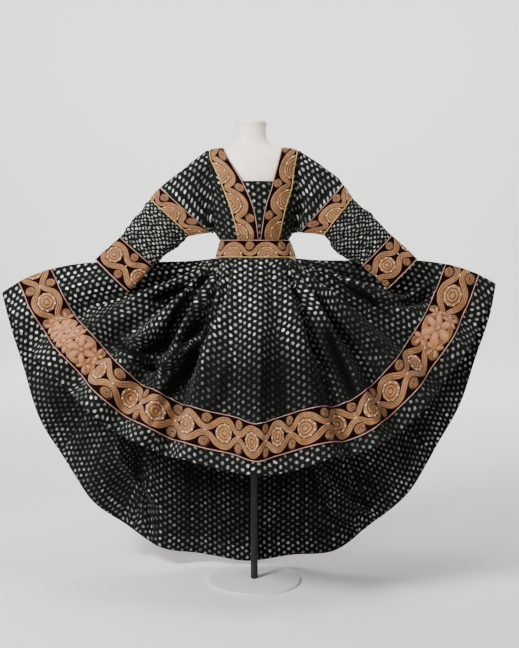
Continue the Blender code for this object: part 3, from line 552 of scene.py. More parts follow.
def fade(share, rise):
    """Rises from 0 to 1 over the start of a stretch and falls again over its end."""
    return ease(share / rise[0]) * ease((1 - share) / rise[1])


def bell(apart, width):
    """A smooth hump, 1 in its middle, that falls away over a half width."""
    return np.exp(-(apart / width) ** 2)


def rippled(ripples, across, along, side=0):
    """How far ripples move the cloth out; side is -1 or 1 on a piece that comes in pairs."""
    return sum(ripple.height * np.sin(ripple.across * across + ripple.along * along
                                      + ripple.start + ripple.lean * side)
               for ripple in ripples)


def dented(dents, across, along):
    """How far single folds move the cloth out."""
    return sum(dent.height * bell(across - dent.place - dent.slant * along, dent.width)
               for dent in dents)


def points_of(x, y, z):
    """Points as one array, from their coordinates."""
    return np.stack(np.broadcast_arrays(x, y, z), axis=-1).astype(float)


def unit(vectors):
    """Vectors of length one."""
    return vectors / np.maximum(np.linalg.norm(vectors, axis=-1, keepdims=True), TINY)


def facing(normals, outward):
    """The normals, turned to the side that outward points to."""
    return normals * np.where((normals * outward).sum(axis=-1, keepdims=True) < 0, -1.0, 1.0)


def near_line(x, y, knots):
    """How far points lie from a line through knots, and the share along it there."""
    best = np.full(x.shape, np.inf)
    share = np.zeros(x.shape)
    for index, (start, end) in enumerate(zip(knots, knots[1:])):
        run, rise = end[0] - start[0], end[1] - start[1]
        t = np.clip(((x - start[0]) * run + (y - start[1]) * rise) / (run * run + rise * rise),
                    0.0, 1.0)
        apart = np.hypot(x - start[0] - t * run, y - start[1] - t * rise)
        closer = apart < best
        best = np.where(closer, apart, best)
        share = np.where(closer, (index + t) / (len(knots) - 1), share)
    return best, share


class Patch:
    """A dense grid of a surface's points and normals, read at any place between them.

    shape(a, b) gives the points and, for each, a point on the inner side of the cloth.
    """

    def __init__(self, shape, grid, closed=False):
        self.grid = grid
        along, across = grid.along, grid.across
        a = np.linspace(0.0, 1.0, along + 1)[:, None]
        b = np.linspace(0.0, 1.0, across + 1)[None, :]
        a, b = np.broadcast_arrays(a, b)
        self.points, inner = shape(a, b)
        self.closed = closed
        if closed:
            ring = np.concatenate([self.points[-2:-1], self.points, self.points[1:2]])
            run = (ring[2:] - ring[:-2]) / 2
        else:
            run = np.gradient(self.points, axis=0)
        normals = unit(np.cross(run, np.gradient(self.points, axis=1)))
        self.normals = facing(normals, self.points - inner)
        around = np.linalg.norm(np.diff(self.points, axis=0), axis=2)
        down = np.linalg.norm(np.diff(self.points, axis=1), axis=2)
        self.around = np.vstack([np.zeros((1, across + 1)), np.cumsum(around, axis=0)])
        self.down = np.hstack([np.zeros((along + 1, 1)), np.cumsum(down, axis=1)])
        self.run = self.around[:, across // 2]
        self.length = self.run[-1]
        self.width = self.down[:, -1].mean()

    def distance(self, share):
        """How far along the middle line a share of the grid lies."""
        return np.interp(share, np.linspace(0.0, 1.0, len(self.run)), self.run)

    def share(self, distance):
        """The share of the grid at a distance along its middle line."""
        if self.closed:
            distance = distance % self.length
        return np.interp(distance, self.run, np.linspace(0.0, 1.0, len(self.run)))

    def sample(self, grid, a, b):
        """Values of a grid at shares a along and b across."""
        x = np.clip(a, 0.0, 1.0) * (grid.shape[0] - 1)
        y = np.clip(b, 0.0, 1.0) * (grid.shape[1] - 1)
        i = np.minimum(x.astype(int), grid.shape[0] - 2)
        j = np.minimum(y.astype(int), grid.shape[1] - 2)
        shape = x.shape + (1,) * (grid.ndim - 2)
        x, y = (x - i).reshape(shape), (y - j).reshape(shape)
        near = mix(grid[i, j], grid[i + 1, j], x)
        return mix(near, mix(grid[i, j + 1], grid[i + 1, j + 1], x), y)

    def at(self, a, b, away=0.0):
        """Points at shares a along and b across, away from the surface."""
        away = np.broadcast_to(away, np.shape(a))[..., None]
        return self.sample(self.points, a, b) + self.sample(self.normals, a, b) * away

    def flat(self, a, b, centre):
        """Places on the flat cloth in metres, measured from the line at a share centre."""
        away = self.sample(self.around, a, b) - self.sample(self.around, centre, b)
        return np.stack([away, self.sample(self.down, a, b)], axis=-1)


# Surfaces of the dress

def form_point(x, height, behind):
    """Points of the form's skin and its normals; behind is 1 on the back, -1 in front."""
    width = read(FORM_RINGS, height, "half_width")
    depth = read(FORM_RINGS, height, "half_depth")
    shift = read(FORM_RINGS, height, "shift")
    above, below = height + HEIGHT_STEP, height - HEIGHT_STEP
    widening = (read(FORM_RINGS, above, "half_width")
                - read(FORM_RINGS, below, "half_width")) / (2 * HEIGHT_STEP)
    deepening = (read(FORM_RINGS, above, "half_depth")
                 - read(FORM_RINGS, below, "half_depth")) / (2 * HEIGHT_STEP)
    across = np.clip((x - shift) / width, -1.0, 1.0)
    inward = np.sqrt(1.0 - across * across) * behind
    points = points_of(shift + width * across, depth * inward, height)
    normals = points_of(across / width, inward / depth,
                        -across * across * widening / width
                        - inward * inward * deepening / depth)
    return points, unit(normals)


def bodice_point(x, height, away, behind=-1.0):
    """Points that lie away from the bodice's inside, kept on their side of the seam."""
    points, normals = form_point(x, height, behind)
    reach = read(BODICE_EASE, height, "ease") + away
    points = points + normals * reach[..., None]
    points[..., 1] = behind * np.maximum(behind * points[..., 1], SEAM / 2)
    return points


def side_limit(height):
    """How far from the middle the bodice reaches: side seam, armhole or shoulder seam."""
    width = read(FORM_RINGS, height, "half_width")
    rise = (height - ARMHOLE_MIDDLE) / ARMHOLE_HALF_HEIGHT
    depth = ARMHOLE_HALF_DEPTH * np.sqrt(np.maximum(1.0 - rise * rise, 0.0))
    share = depth / read(FORM_RINGS, height, "half_depth")
    return width * np.sqrt(1.0 - share ** 2)


def inside_body(points):
    """For points of the bodice, points near the body's axis at their height."""
    return points * np.array([AXIS_SHARE, AXIS_SHARE, 1.0])


def neck_edges(side):
    """The table of a neck border's edges."""
    return NECK_BORDER_RIGHT if side < 0 else NECK_BORDER_LEFT


def front_panel_shape(side):
    """The bodice's front between the neck border and the armhole; side is -1 or 1."""
    def shape(a, b):
        height = mix(BODICE_FOOT, PANEL_HEAD, b)
        near = np.abs(read(neck_edges(side), height, "outer")) + SEAM / 2
        far = np.maximum(side_limit(height), near + CLOTH)
        free = fade(a, PANEL_ACROSS_RISE) * fade(b, PANEL_UP_RISE)
        fold = dented(PANEL_DENTS, a, b) + rippled(PANEL_RIPPLES, a, b, side)
        points = bodice_point(side * mix(near, far, a), height, CLOTH / 2 + fold * free)
        return points, inside_body(points)
    return shape


def back_panel_shape(a, b):
    """The bodice's back, from side to side and up to the neck's shallow dip."""
    across = -np.cos(math.pi * a)
    height = mix(BODICE_FOOT, NECK_HEAD, b)
    dip = BACK_NECK_DIP * np.maximum(1.0 - across * across, 0.0) ** BACK_NECK_ROUNDNESS
    lowered = height - dip * b * b
    free = fade(a, BACK_ACROSS_RISE) * fade(b, BACK_UP_RISE)
    fold = rippled(BACK_RIPPLES, across, b)
    points = bodice_point(across * side_limit(height), lowered, CLOTH / 2 + fold * free, 1.0)
    return points, inside_body(points)


def neck_border_shape(side, away):
    """The neck border: a goes up from the waistband, b from the outer edge to the inner."""
    def shape(a, b):
        height = mix(BODICE_FOOT, NECK_HEAD, a)
        inner = read(neck_edges(side), height, "inner") + side * SEAM / 2
        outer = read(neck_edges(side), height, "outer") - side * SEAM / 2
        limit = np.where(height > ARMHOLE_HEAD, side_limit(height), math.inf)
        x = side * np.minimum(side * mix(outer, inner, b), limit)
        points = bodice_point(x, height, away)
        return points, inside_body(points)
    return shape


def neck_insert_shape(a, b):
    """The dotted insert in the lower part of the neck."""
    height = mix(INSERT_FOOT, INSERT_HEAD, b)
    right = read(NECK_BORDER_RIGHT, height, "inner") + SEAM / 2
    left = read(NECK_BORDER_LEFT, height, "inner") - SEAM / 2
    points = bodice_point(mix(right, left, a), height, CLOTH / 2)
    return points, inside_body(points)


def waistband_shape(away):
    """The waistband: a goes round and b from the foot to the top."""
    def shape(a, b):
        turn = 2 * math.pi * a
        width = mix(WAIST_HALF_WIDTH, BAND_TOP_HALF_WIDTH, b) + away
        depth = mix(WAIST_HALF_DEPTH, BAND_TOP_HALF_DEPTH, b) + away
        shift = mix(WAIST_SHIFT, BAND_TOP_SHIFT, b)
        points = points_of(shift + width * np.cos(turn), depth * np.sin(turn),
                           WAISTBAND_HEIGHT * b)
        return points, inside_body(points)
    return shape


def armhole_point(side, turn):
    """The middle of the bodice's edge at the armhole, just past its wall."""
    height = ARMHOLE_MIDDLE + ARMHOLE_HALF_HEIGHT * np.sin(turn)
    behind = np.where(np.cos(turn) < 0, 1.0, -1.0)
    x = side * side_limit(np.clip(height, ARMHOLE_FOOT, ARMHOLE_HEAD))
    points, normals = form_point(x, height, behind)
    points = points + normals * (read(BODICE_EASE, height, "ease") + CLOTH / 2)[..., None]
    points[..., 0] += side * (np.abs(normals[..., 0]) * CLOTH / 2 + 2 * SEAM)
    return points


def sleeve_point(side, u, along):
    """The middle of the sleeve's wall; u goes round from the lowest line by the front."""
    sections = SLEEVE_RIGHT if side < 0 else SLEEVE_LEFT
    turn = 2 * math.pi * u - math.pi / 2
    top_x, top_z = read(sections, along, "top_x"), read(sections, along, "top_z")
    low_x, low_z = read(sections, along, "low_x"), read(sections, along, "low_z")
    depth = read(sections, along, "half_depth") * np.cos(turn)
    rise = np.sin(turn)
    points = points_of((top_x + low_x) / 2 + (top_x - low_x) / 2 * rise,
                       read(sections, along, "mid_y") - depth,
                       (top_z + low_z) / 2 + (top_z - low_z) / 2 * rise)
    share = ease(1.0 - along / ROOT_BLEND)[..., None]
    return mix(points, armhole_point(side, turn), share)


def sleeve_shape(side, stretch, fold=None):
    """Part of a sleeve: a goes round it and b along it; fold(a, b) is how far it stands out."""
    def shape(a, b):
        along = mix(*stretch, b)
        points = sleeve_point(side, a, along)
        centre = (sleeve_point(side, a * 0, along) + sleeve_point(side, a * 0 + 0.5, along)) / 2
        around = (sleeve_point(side, a + SLEEVE_STEP, along)
                  - sleeve_point(side, a - SLEEVE_STEP, along))
        down = (sleeve_point(side, a, np.minimum(along + SLEEVE_STEP, 1.0))
                - sleeve_point(side, a, np.maximum(along - SLEEVE_STEP, 0.0)))
        down[along < SLEEVE_STEP] = (side, 0.0, 0.0)
        normals = facing(unit(np.cross(around, down)), points - centre)
        out = fold(a, b) if fold else a * 0
        return points + normals * out[..., None], centre
    return shape


Knot = namedtuple("Knot", "at u v")


class Half:
    """One half of the skirt: its surface with folds, and the border on it.

    u goes along the hem from the wearer's right to the left and v down from the waist.
    """

    def __init__(self, rays, folds, creases, shadows, gores, drops, behind):
        self.rays = rays
        self.drops = drops
        self.folds = folds
        self.behind = behind
        self.gores = gores
        self.creases = [(crease, self.flat_line(crease.places)) for crease in creases]
        self.shadows = [(shadow, self.flat_line(shadow.places)) for shadow in shadows]

    def span(self, u):
        """How long the skirt is from the waist straight to the hem."""
        return np.linalg.norm(self.plain(u, u * 0 + 1.0) - self.plain(u, u * 0), axis=-1)

    def flat(self, u, v):
        """Where a place lies on the flat half circle, in metres."""
        turn = (u - 0.5) * FLAT_ANGLE
        reach = FLAT_WAIST_RADIUS + v * self.span(u)
        return reach * np.sin(turn), reach * np.cos(turn)

    def flat_line(self, places):
        """A smooth line through places of the skirt, on the flat half circle."""
        table = [Knot(index, u, v) for index, (u, v) in enumerate(places)]
        at = np.linspace(0, len(places) - 1, LINE_STEPS * (len(places) - 1) + 1)
        x, y = self.flat(read(table, at, "u"), read(table, at, "v"))
        return list(zip(x, y))

    def plain(self, u, v):
        """The surface without folds."""
        turn = np.radians(read(self.rays, u, "turn"))
        waist = points_of(WAIST_SHIFT - (WAIST_HALF_WIDTH - CLOTH / 2) * np.cos(turn),
                          (WAIST_HALF_DEPTH - CLOTH / 2) * np.sin(turn) * self.behind,
                          -CLOTH / 2 - 2 * SEAM)
        hem = points_of(*(read(self.rays, u, column) for column in "xyz"))
        line = hem - waist
        level = np.hypot(line[..., 0], line[..., 1])
        upward = unit(points_of(-line[..., 2] * line[..., 0] / level,
                                -line[..., 2] * line[..., 1] / level, level))
        away = (read(self.rays, u, "puff") * BULGE_SCALE * v * (1 - v) ** 2
                + read(self.rays, u, "lift") * BULGE_SCALE * v * v * (1 - v))
        return waist + line * v[..., None] + upward * away[..., None]

    def outward(self, u):
        """Directions that are outside the skirt."""
        return points_of(np.cos(math.pi * (1 - u)) * OUTSIDE_ACROSS, self.behind, OUTSIDE_UP)

    def dark(self, u, v):
        """Painted shade of sharp creases, hollows and shadows: how dark, from 0 to 1."""
        x, y = self.flat(u, v)
        darkest = u * 0.0
        for shadow, knots in self.shadows:
            apart, share = near_line(x, y, knots)
            depth = shadow.dark * bell(apart, shadow.width) * fade(share, SHADOW_RISE)
            darkest = np.maximum(darkest, depth)
        return darkest

    def shade(self, u, v):
        """How dark places are painted: 1 in a sharp crease, as shade, and less than 0 below the
        border, as a painted highlight.
        """
        lower = self.border_rows(u)[1]
        return self.dark(u, v) * (v < lower) - STRIP_GLINT * ease((v - lower) / STRIP_BLEND)

    def height(self, u, v):
        """How far folds, creases and gathers stand out of the skirt."""
        total = -SHADOW_DEPTH * self.dark(u, v)
        for fold in self.folds:
            ridge = bell(u - fold.along - fold.drift * v, fold.width)
            total = total + fold.height * ridge * ease(v / fold.full)
        x, y = self.flat(u, v)
        for crease, knots in self.creases:
            apart, share = near_line(x, y, knots)
            ridge = bell(apart, crease.width) * fade(share, CREASE_RISE)
            total = total + crease.height * ridge
        pull = np.minimum(v / GATHERS_RISE, 1.0) * np.maximum(1.0 - v / GATHERS_END, 0.0)
        for wave in WAIST_WAVES:
            swell = 2 * math.pi * wave.count * u + wave.phase
            total = total + wave.height * pull * np.sin(swell)
        return total * np.minimum(np.minimum(u, 1.0 - u) / FOLD_FREE_EDGE, 1.0)

    def folded(self, u, v):
        """The middle of the cloth, clear of the other half at the side seams."""
        low_u, high_u = np.clip(u - SURFACE_STEP, 0, 1), np.clip(u + SURFACE_STEP, 0, 1)
        low_v, high_v = np.clip(v - SURFACE_STEP, 0, 1), np.clip(v + SURFACE_STEP, 0, 1)
        normals = unit(np.cross(self.plain(high_u, v) - self.plain(low_u, v),
                                self.plain(u, high_v) - self.plain(u, low_v)))
        normals = facing(normals, self.outward(u))
        points = self.plain(u, v) + normals * self.height(u, v)[..., None]
        near_side = np.maximum(1.0 - np.minimum(u, 1.0 - u) / PARTED_EDGE, 0.0)
        points[..., 1] += self.behind * (CLOTH / 2 + SEAM / 2) * near_side
        return points

    def shape(self, a, b):
        """The whole panel: a along the hem and b from the waist to the hem."""
        points = self.folded(a, b)
        return points, points - self.outward(a)

    def border_rows(self, u):
        """Where the border starts and ends down the skirt."""
        strip = read(self.rays, u, "strip") - np.interp(u, *zip(*self.drops))
        lower = 1.0 - strip / self.span(u)
        return lower - BORDER_WIDTH / self.span(u), lower

    def border_shape(self, a, b):
        """The border: a along the hem and b from its lower edge to its upper edge."""
        upper, lower = self.border_rows(a)
        points = self.folded(a, mix(lower, upper, b))
        return points, points - self.outward(a)

    def gored(self, patch):
        """Flat places on the gores of a patch of the skirt, each gore with its own grain."""
        def develop(a, b, middle):
            bounds = np.array(self.gores)
            gore = np.clip(np.searchsorted(bounds, middle) - 1, 0, len(bounds) - 2)
            places = patch.flat(a, b, (bounds[gore] + bounds[gore + 1]) / 2)
            places[:, 0] += GORE_OFFSET * gore
            return places
        return develop


# Meshes

# The shells' thickness, and how deep embroidery starts in the cloth under it
SHELL = 0.0012
GROUND = 0.0004

# Half a flat grid, and distances below which points are joined
GRID_HALF = 0.5
SEAM_WELD = 0.00002
RELIEF_WELD = 0.00001
POLE_WELD = 0.000001

# A strand's direction is measured over one of so many parts of a column
DIRECTION_PARTS = 10


def flat_grid(columns, rows):
    """A flat grid, one unit wide and long, about the origin."""
    bm = bmesh.new()
    bmesh.ops.create_grid(bm, x_segments=columns, y_segments=rows, size=GRID_HALF)
    return bm


def as_mesh(bm, name):
    """A mesh from a bmesh, which is freed."""
    mesh = bpy.data.meshes.new(name)
    bm.to_mesh(mesh)
    bm.free()
    return mesh


def link(name, data):
    """A new object in the scene, from a mesh, a light or a camera."""
    item = bpy.data.objects.new(name, data)
    bpy.context.scene.collection.objects.link(item)
    return item


def lift(mesh):
    """Raises a mesh from the waist seam's heights to real ones, and shades it smooth."""
    mesh.transform(Matrix.Translation((0.0, 0.0, WAIST_HEIGHT)))
    mesh.shade_smooth()
    mesh.update()


def cloth(name, patch, develop, material, away=0.0, shade=None):
    """A thin cloth shell on a patch, with its flat places in metres as UVs.

    shade(a, b) is the painted shade of places, below 0 a painted highlight, which the cloth
    keeps as an attribute.
    """
    mesh = as_mesh(flat_grid(patch.grid.columns, patch.grid.rows), name)
    places = np.empty(len(mesh.vertices) * 3)
    mesh.vertices.foreach_get("co", places)
    places = places.reshape(-1, 3) + GRID_HALF
    corners = np.empty(len(mesh.loops), int)
    mesh.loops.foreach_get("vertex_index", corners)
    a, b = places[corners, 0], places[corners, 1]
    middle = np.repeat(a.reshape(-1, 4).mean(axis=1), 4)
    layer = mesh.uv_layers.new(name="flat")
    layer.data.foreach_set("uv", develop(a, b, middle).astype(np.float32).ravel())
    points = patch.at(places[:, 0], places[:, 1], away)
    mesh.vertices.foreach_set("co", points.astype(np.float32).ravel())
    if shade:
        dark = mesh.attributes.new("shade", "FLOAT", "POINT")
        dark.data.foreach_set("value", shade(places[:, 0], places[:, 1]).astype(np.float32))
    if patch.closed:
        bm = bmesh.new()
        bm.from_mesh(mesh)
        ends = [vert for vert in bm.verts if vert.is_boundary]
        bmesh.ops.remove_doubles(bm, verts=ends, dist=SEAM_WELD)
        bm.to_mesh(mesh)
        bm.free()
    lift(mesh)
    mesh.materials.append(material)
    piece = link(name, mesh)
    solid = piece.modifiers.new("thickness", "SOLIDIFY")
    solid.thickness = SHELL
    solid.offset = 0.0
    return piece


def straight(patch):
    """Flat places for a patch that is cut in one, in metres."""
    def develop(a, b, middle):
        return patch.flat(a, b, a * 0 + 0.5)
    return develop


# Embroidery, built flat: x along a border, y across it and z above its ground

GOLD, SILVER, YELLOW, CORAL, SPARK = range(5)

# Ringed medallions: each ring's ridge as shares of the ring's width and of the height, the
# share of the width where its groove lies, and the medallion's rim
RELIEF_HEIGHT = 0.0032
RIDGE = ((0.16, 0.92), (0.42, 1.00), (0.66, 0.84))
GROOVE = 0.86
GROOVE_HEIGHT = 0.0006
RIM = (0.985, 0.70)

# Braids: their lengthwise ridges, the share of a ridge where its top starts and ends, how
# high the grooves are, and how far their middle line keeps from what they go round
BRAID_HEIGHT = 0.0027
BRAID_RIDGES = 3
BRAID_TOP = (0.28, 0.72)
BRAID_GROOVE = 0.45
BRAID_REACH = 0.53
BRAID_STEPS = 30
ARC_STEPS = 12

# Pipings: how far they lie from the border's edge, their radii, and the length of a segment
PIPING_EDGE = 0.0025
LOWER_PIPING = 0.0019
UPPER_PIPING = 0.0017
PIPING_SEGMENT = 0.008
PIPING_FEWEST = 8

# Small discs and the spiral cord on them: heights in metres, the rest in shares of the
# disc's radius or the cord's width
DISC_HEIGHT = 0.0010
DISC_TOP = 0.93
DISC_STEPS = 18
COIL_TURNS = 2.1
COIL_OUTER = 0.84
COIL_SPAN = 0.72
COIL_WIDTH = 0.31
COIL_SECTION = ((-0.5, 0.0006), (-0.22, 0.0030), (0.22, 0.0030), (0.5, 0.0006))
COIL_STEPS = 34

# Sequins: radii and heights in metres
SEQUIN_PROFILE = ((0.0, 0.0046), (0.0014, 0.0043), (0.0023, 0.0020))
SEQUIN_STEPS = 6

# Flowers: heights in metres, the rest in shares of the flower's, petal's or bud's radius
PETAL_PROFILE = ((0.0, 0.0046), (0.35, 0.0043), (0.7, 0.0026), (1.0, 0.0))
BUD_PROFILE = ((0.0, 0.0056), (0.6, 0.0050), (1.0, 0.0))
PETAL_STEPS = 12
PETAL_REACH = 0.54
PETAL_SIZE = (0.50, 0.27, 1.0)
PETAL_TURN = 0.3
BUD_SIZE = 0.17

# The wide border, in shares of its width and its medallions' radius
WIDE_BRAID = 0.166
WIDE_EDGE = 0.050
WIDE_RINGS = (0.0, 0.36, 0.68, 1.0)
WIDE_STEPS = 30
WIDE_SEQUINS = 9
WIDE_SEQUIN_START = 0.4
WIDE_SEQUIN_REACH = 0.89
FLOWER_PETALS = 6
FLOWER_SIZE = 1.70
CLUSTER_PETALS = 5
CLUSTER_SIZE = 0.95
CLUSTER_PLACES = ((-0.36, 0.22), (0.36, -0.22), (0.40, 0.21), (-0.38, -0.22))

# The narrow border, in metres and in shares of its width and its medallions' radius
NARROW_BRAID = 0.25
NARROW_EDGE = 0.0045
NARROW_TUCK = 0.001
NARROW_RINGS = (0.0, 0.30, 0.55, 0.78, 1.0)
NARROW_STEPS = 22
NARROW_SEQUINS = 4
NARROW_SEQUIN_START = 0.5
NARROW_SEQUIN_REACH = 0.90

# Radii of the discs on each border and of the cuffs' medallions, in metres
WIDE_DISC = 0.0178
NECK_DISC = 0.0165
WAIST_DISC = 0.0172
SLEEVE_DISC = 0.0160
CUFF_DISC = 0.0150
CUFF_MEDALLION_RADIUS = 0.028


def finish_flat(bm, material):
    """A mesh with all faces up, of one material, with the thread's run as UVs."""
    bmesh.ops.recalc_face_normals(bm, faces=bm.faces)
    if sum(face.normal.z * face.calc_area() for face in bm.faces) < 0:
        bmesh.ops.reverse_faces(bm, faces=bm.faces)
    for face in bm.faces:
        face.material_index = material
        face.smooth = True
    return as_mesh(bm, "flat_motif")


def turned(profile, steps, angle=2 * math.pi, material=GOLD):
    """A profile of (radius, height) points turned about z."""
    bm = bmesh.new()
    thread = bm.loops.layers.uv.new("thread")
    verts = [bm.verts.new((radius, 0.0, height)) for radius, height in profile]
    edges = [bm.edges.new(pair) for pair in zip(verts, verts[1:])]
    bmesh.ops.spin(bm, geom=verts + edges, cent=(0, 0, 0), axis=(0, 0, 1), angle=angle,
                   steps=steps, use_duplicate=False)
    bmesh.ops.remove_doubles(bm, verts=bm.verts, dist=POLE_WELD)
    for face in bm.faces:
        middle = face.calc_center_median()
        around = math.atan2(middle.y, middle.x)
        for loop in face.loops:
            co = loop.vert.co
            turn = math.atan2(co.y, co.x) - around
            turn = (turn + math.pi) % (2 * math.pi) - math.pi + around
            loop[thread].uv = (turn * math.hypot(middle.x, middle.y), math.hypot(co.x, co.y))
    return finish_flat(bm, material)


def swept(length, columns, centre, width, section, material=GOLD):
    """A strand along x: centre(x) is its middle line and section its (across, height) points."""
    rows = len(section) - 1
    bm = flat_grid(columns, rows)
    thread = bm.loops.layers.uv.new("thread")
    for face in bm.faces:
        for loop in face.loops:
            co = loop.vert.co
            loop[thread].uv = ((co.x + GRID_HALF) * length, (co.y + GRID_HALF) * width * 2)
    step = length / columns / DIRECTION_PARTS
    for vert in bm.verts:
        along = (vert.co.x + GRID_HALF) * length
        across, height = section[round((vert.co.y + GRID_HALF) * rows)]
        x, y = centre(along)
        before, after = centre(along - step), centre(along + step)
        run = Vector((after[0] - before[0], after[1] - before[1])).normalized()
        vert.co = (x - run.y * across * width, y + run.x * across * width, height)
    return finish_flat(bm, material)


class Relief:
    """Stitched relief that gathers motifs, and is then laid on a border."""

    def __init__(self):
        self.bm = bmesh.new()
        self.bm.loops.layers.uv.new("thread")

    def add(self, motif, x=0.0, y=0.0, turn=0.0, size=(1.0, 1.0, 1.0)):
        """Places a copy of a flat motif."""
        first = len(self.bm.verts)
        self.bm.from_mesh(motif)
        self.bm.verts.ensure_lookup_table()
        new = self.bm.verts[first:]
        matrix = Matrix.Translation((x, y, 0.0)) @ Matrix.Rotation(turn, 4, "Z")
        bmesh.ops.transform(self.bm, matrix=matrix @ Matrix.Diagonal((*size, 1.0)), verts=new)

    def as_motif(self):
        """The relief as one flat mesh."""
        mesh = bpy.data.meshes.new("flat_repeat")
        self.bm.to_mesh(mesh)
        return mesh

    def cut(self, start, end):
        """Takes away what lies beyond the two ends of a border."""
        for place, side in ((start, -1), (end, 1)):
            geom = self.bm.verts[:] + self.bm.edges[:] + self.bm.faces[:]
            bmesh.ops.bisect_plane(self.bm, geom=geom, plane_co=(place, 0, 0),
                                   plane_no=(side, 0, 0), clear_outer=True)

    def lay(self, name, patch, width, ground, warp, materials):
        """Lays the relief on a patch; ground is how far above the patch it starts."""
        bmesh.ops.remove_doubles(self.bm, verts=self.bm.verts, dist=RELIEF_WELD)
        mesh = as_mesh(self.bm, name)
        flat = np.empty(len(mesh.vertices) * 3)
        mesh.vertices.foreach_get("co", flat)
        flat = flat.reshape(-1, 3)
        share = patch.share(warp(flat[:, 0]))
        points = patch.at(share, flat[:, 1] / width, flat[:, 2] + ground)
        mesh.vertices.foreach_set("co", points.astype(np.float32).ravel())
        raised = mesh.attributes.new("raised", "FLOAT", "POINT")
        raised.data.foreach_set("value", (flat[:, 2] / RELIEF_HEIGHT).astype(np.float32))
        lift(mesh)
        for material in materials:
            mesh.materials.append(material)
        return link(name, mesh)


def rings(radii):
    """A profile of round ridges between radii, from the middle outwards."""
    profile = [(0.0, RELIEF_HEIGHT)]
    for inner, outer in zip(radii, radii[1:]):
        profile += [(mix(inner, outer, share), RELIEF_HEIGHT * height)
                    for share, height in RIDGE]
        profile.append((mix(inner, outer, GROOVE), GROOVE_HEIGHT))
    return profile[:-1] + [(radii[-1] * RIM[0], RELIEF_HEIGHT * RIM[1]), (radii[-1], 0.0)]


def braid_section():
    """The cross-section of a braid with lengthwise ridges."""
    section = [(-0.5, 0.0)]
    for ridge in range(BRAID_RIDGES):
        start = -0.5 + ridge / BRAID_RIDGES
        section += [(start + share / BRAID_RIDGES, BRAID_HEIGHT) for share in BRAID_TOP]
        if ridge < BRAID_RIDGES - 1:
            section.append((start + 1 / BRAID_RIDGES, BRAID_HEIGHT * BRAID_GROOVE))
    return section + [(0.5, 0.0)]


def rope(length, y, radius, material):
    """Round piping along a border, with six sides."""
    turns = [math.radians(angle) for angle in range(-90, 271, 60)]
    section = [(0.5 * math.cos(turn), radius * (1 + math.sin(turn))) for turn in turns]
    columns = max(int(length / PIPING_SEGMENT), PIPING_FEWEST)
    return swept(length, columns, lambda x: (x, y), 2 * radius, section, material)


def small_disc(radius):
    """A little disc with a spiral cord wound on it."""
    relief = Relief()
    relief.add(turned([(0.0, DISC_HEIGHT), (DISC_TOP * radius, DISC_HEIGHT), (radius, 0.0)],
                      DISC_STEPS))

    def coil(x):
        turn = 2 * math.pi * COIL_TURNS * x
        reach = radius * (COIL_OUTER - COIL_SPAN * x)
        return reach * math.cos(turn), reach * math.sin(turn)

    relief.add(swept(1.0, COIL_STEPS, coil, radius * COIL_WIDTH, COIL_SECTION))
    return relief.as_motif()


def sequin():
    """A tiny shining cup."""
    return turned(SEQUIN_PROFILE, SEQUIN_STEPS, material=SPARK)


def sequin_row(relief, count, start, angle, reach, middle):
    """Adds sequins round a medallion whose middle lies at a distance across the border."""
    for index in range(count):
        turn = angle * (index + start) / count
        relief.add(sequin(), reach * math.cos(turn), middle + reach * math.sin(turn))


def petals(radius, count, material):
    """A flower of rounded petals round a bud."""
    petal = turned(PETAL_PROFILE, PETAL_STEPS, material=material)
    relief = Relief()
    reach = PETAL_REACH * radius
    length, breadth, height = PETAL_SIZE
    for index in range(count):
        turn = 2 * math.pi * index / count + PETAL_TURN
        relief.add(petal, reach * math.cos(turn), reach * math.sin(turn), turn,
                   (length * radius, breadth * radius, height))
    relief.add(turned(BUD_PROFILE, PETAL_STEPS),
               size=(BUD_SIZE * radius, BUD_SIZE * radius, 1.0))
    return relief.as_motif()


def braid_line(pitch, around, height, under):
    """The middle line of a braid that goes over a medallion and under the discs beside it.

    around is the line's radius about the medallion, height how far the discs lie above the
    medallion's middle, and under the line's radius about a disc.
    """
    base = math.atan2(height, pitch / 2)
    reach = math.hypot(height, pitch / 2)
    touch = base + math.acos(min((around + under) / reach, 1.0))
    points = [(around * math.cos(turn), around * math.sin(turn))
              for turn in np.linspace(math.pi / 2, touch, ARC_STEPS)]
    points += [(pitch / 2 - under * math.cos(turn), height - under * math.sin(turn))
               for turn in np.linspace(touch, math.pi / 2, ARC_STEPS)]
    points = [(-x, y) for x, y in reversed(points[1:])] + points
    steps = [math.dist(*pair) for pair in zip(points, points[1:])]
    run = np.concatenate([[0.0], np.cumsum(steps)]) * pitch / sum(steps)

    def line(x):
        before = pitch * math.floor(x / pitch)
        return tuple(float(np.interp(x - before, run, values)) + shift
                     for values, shift in zip(zip(*points), (before, 0.0)))
    return line


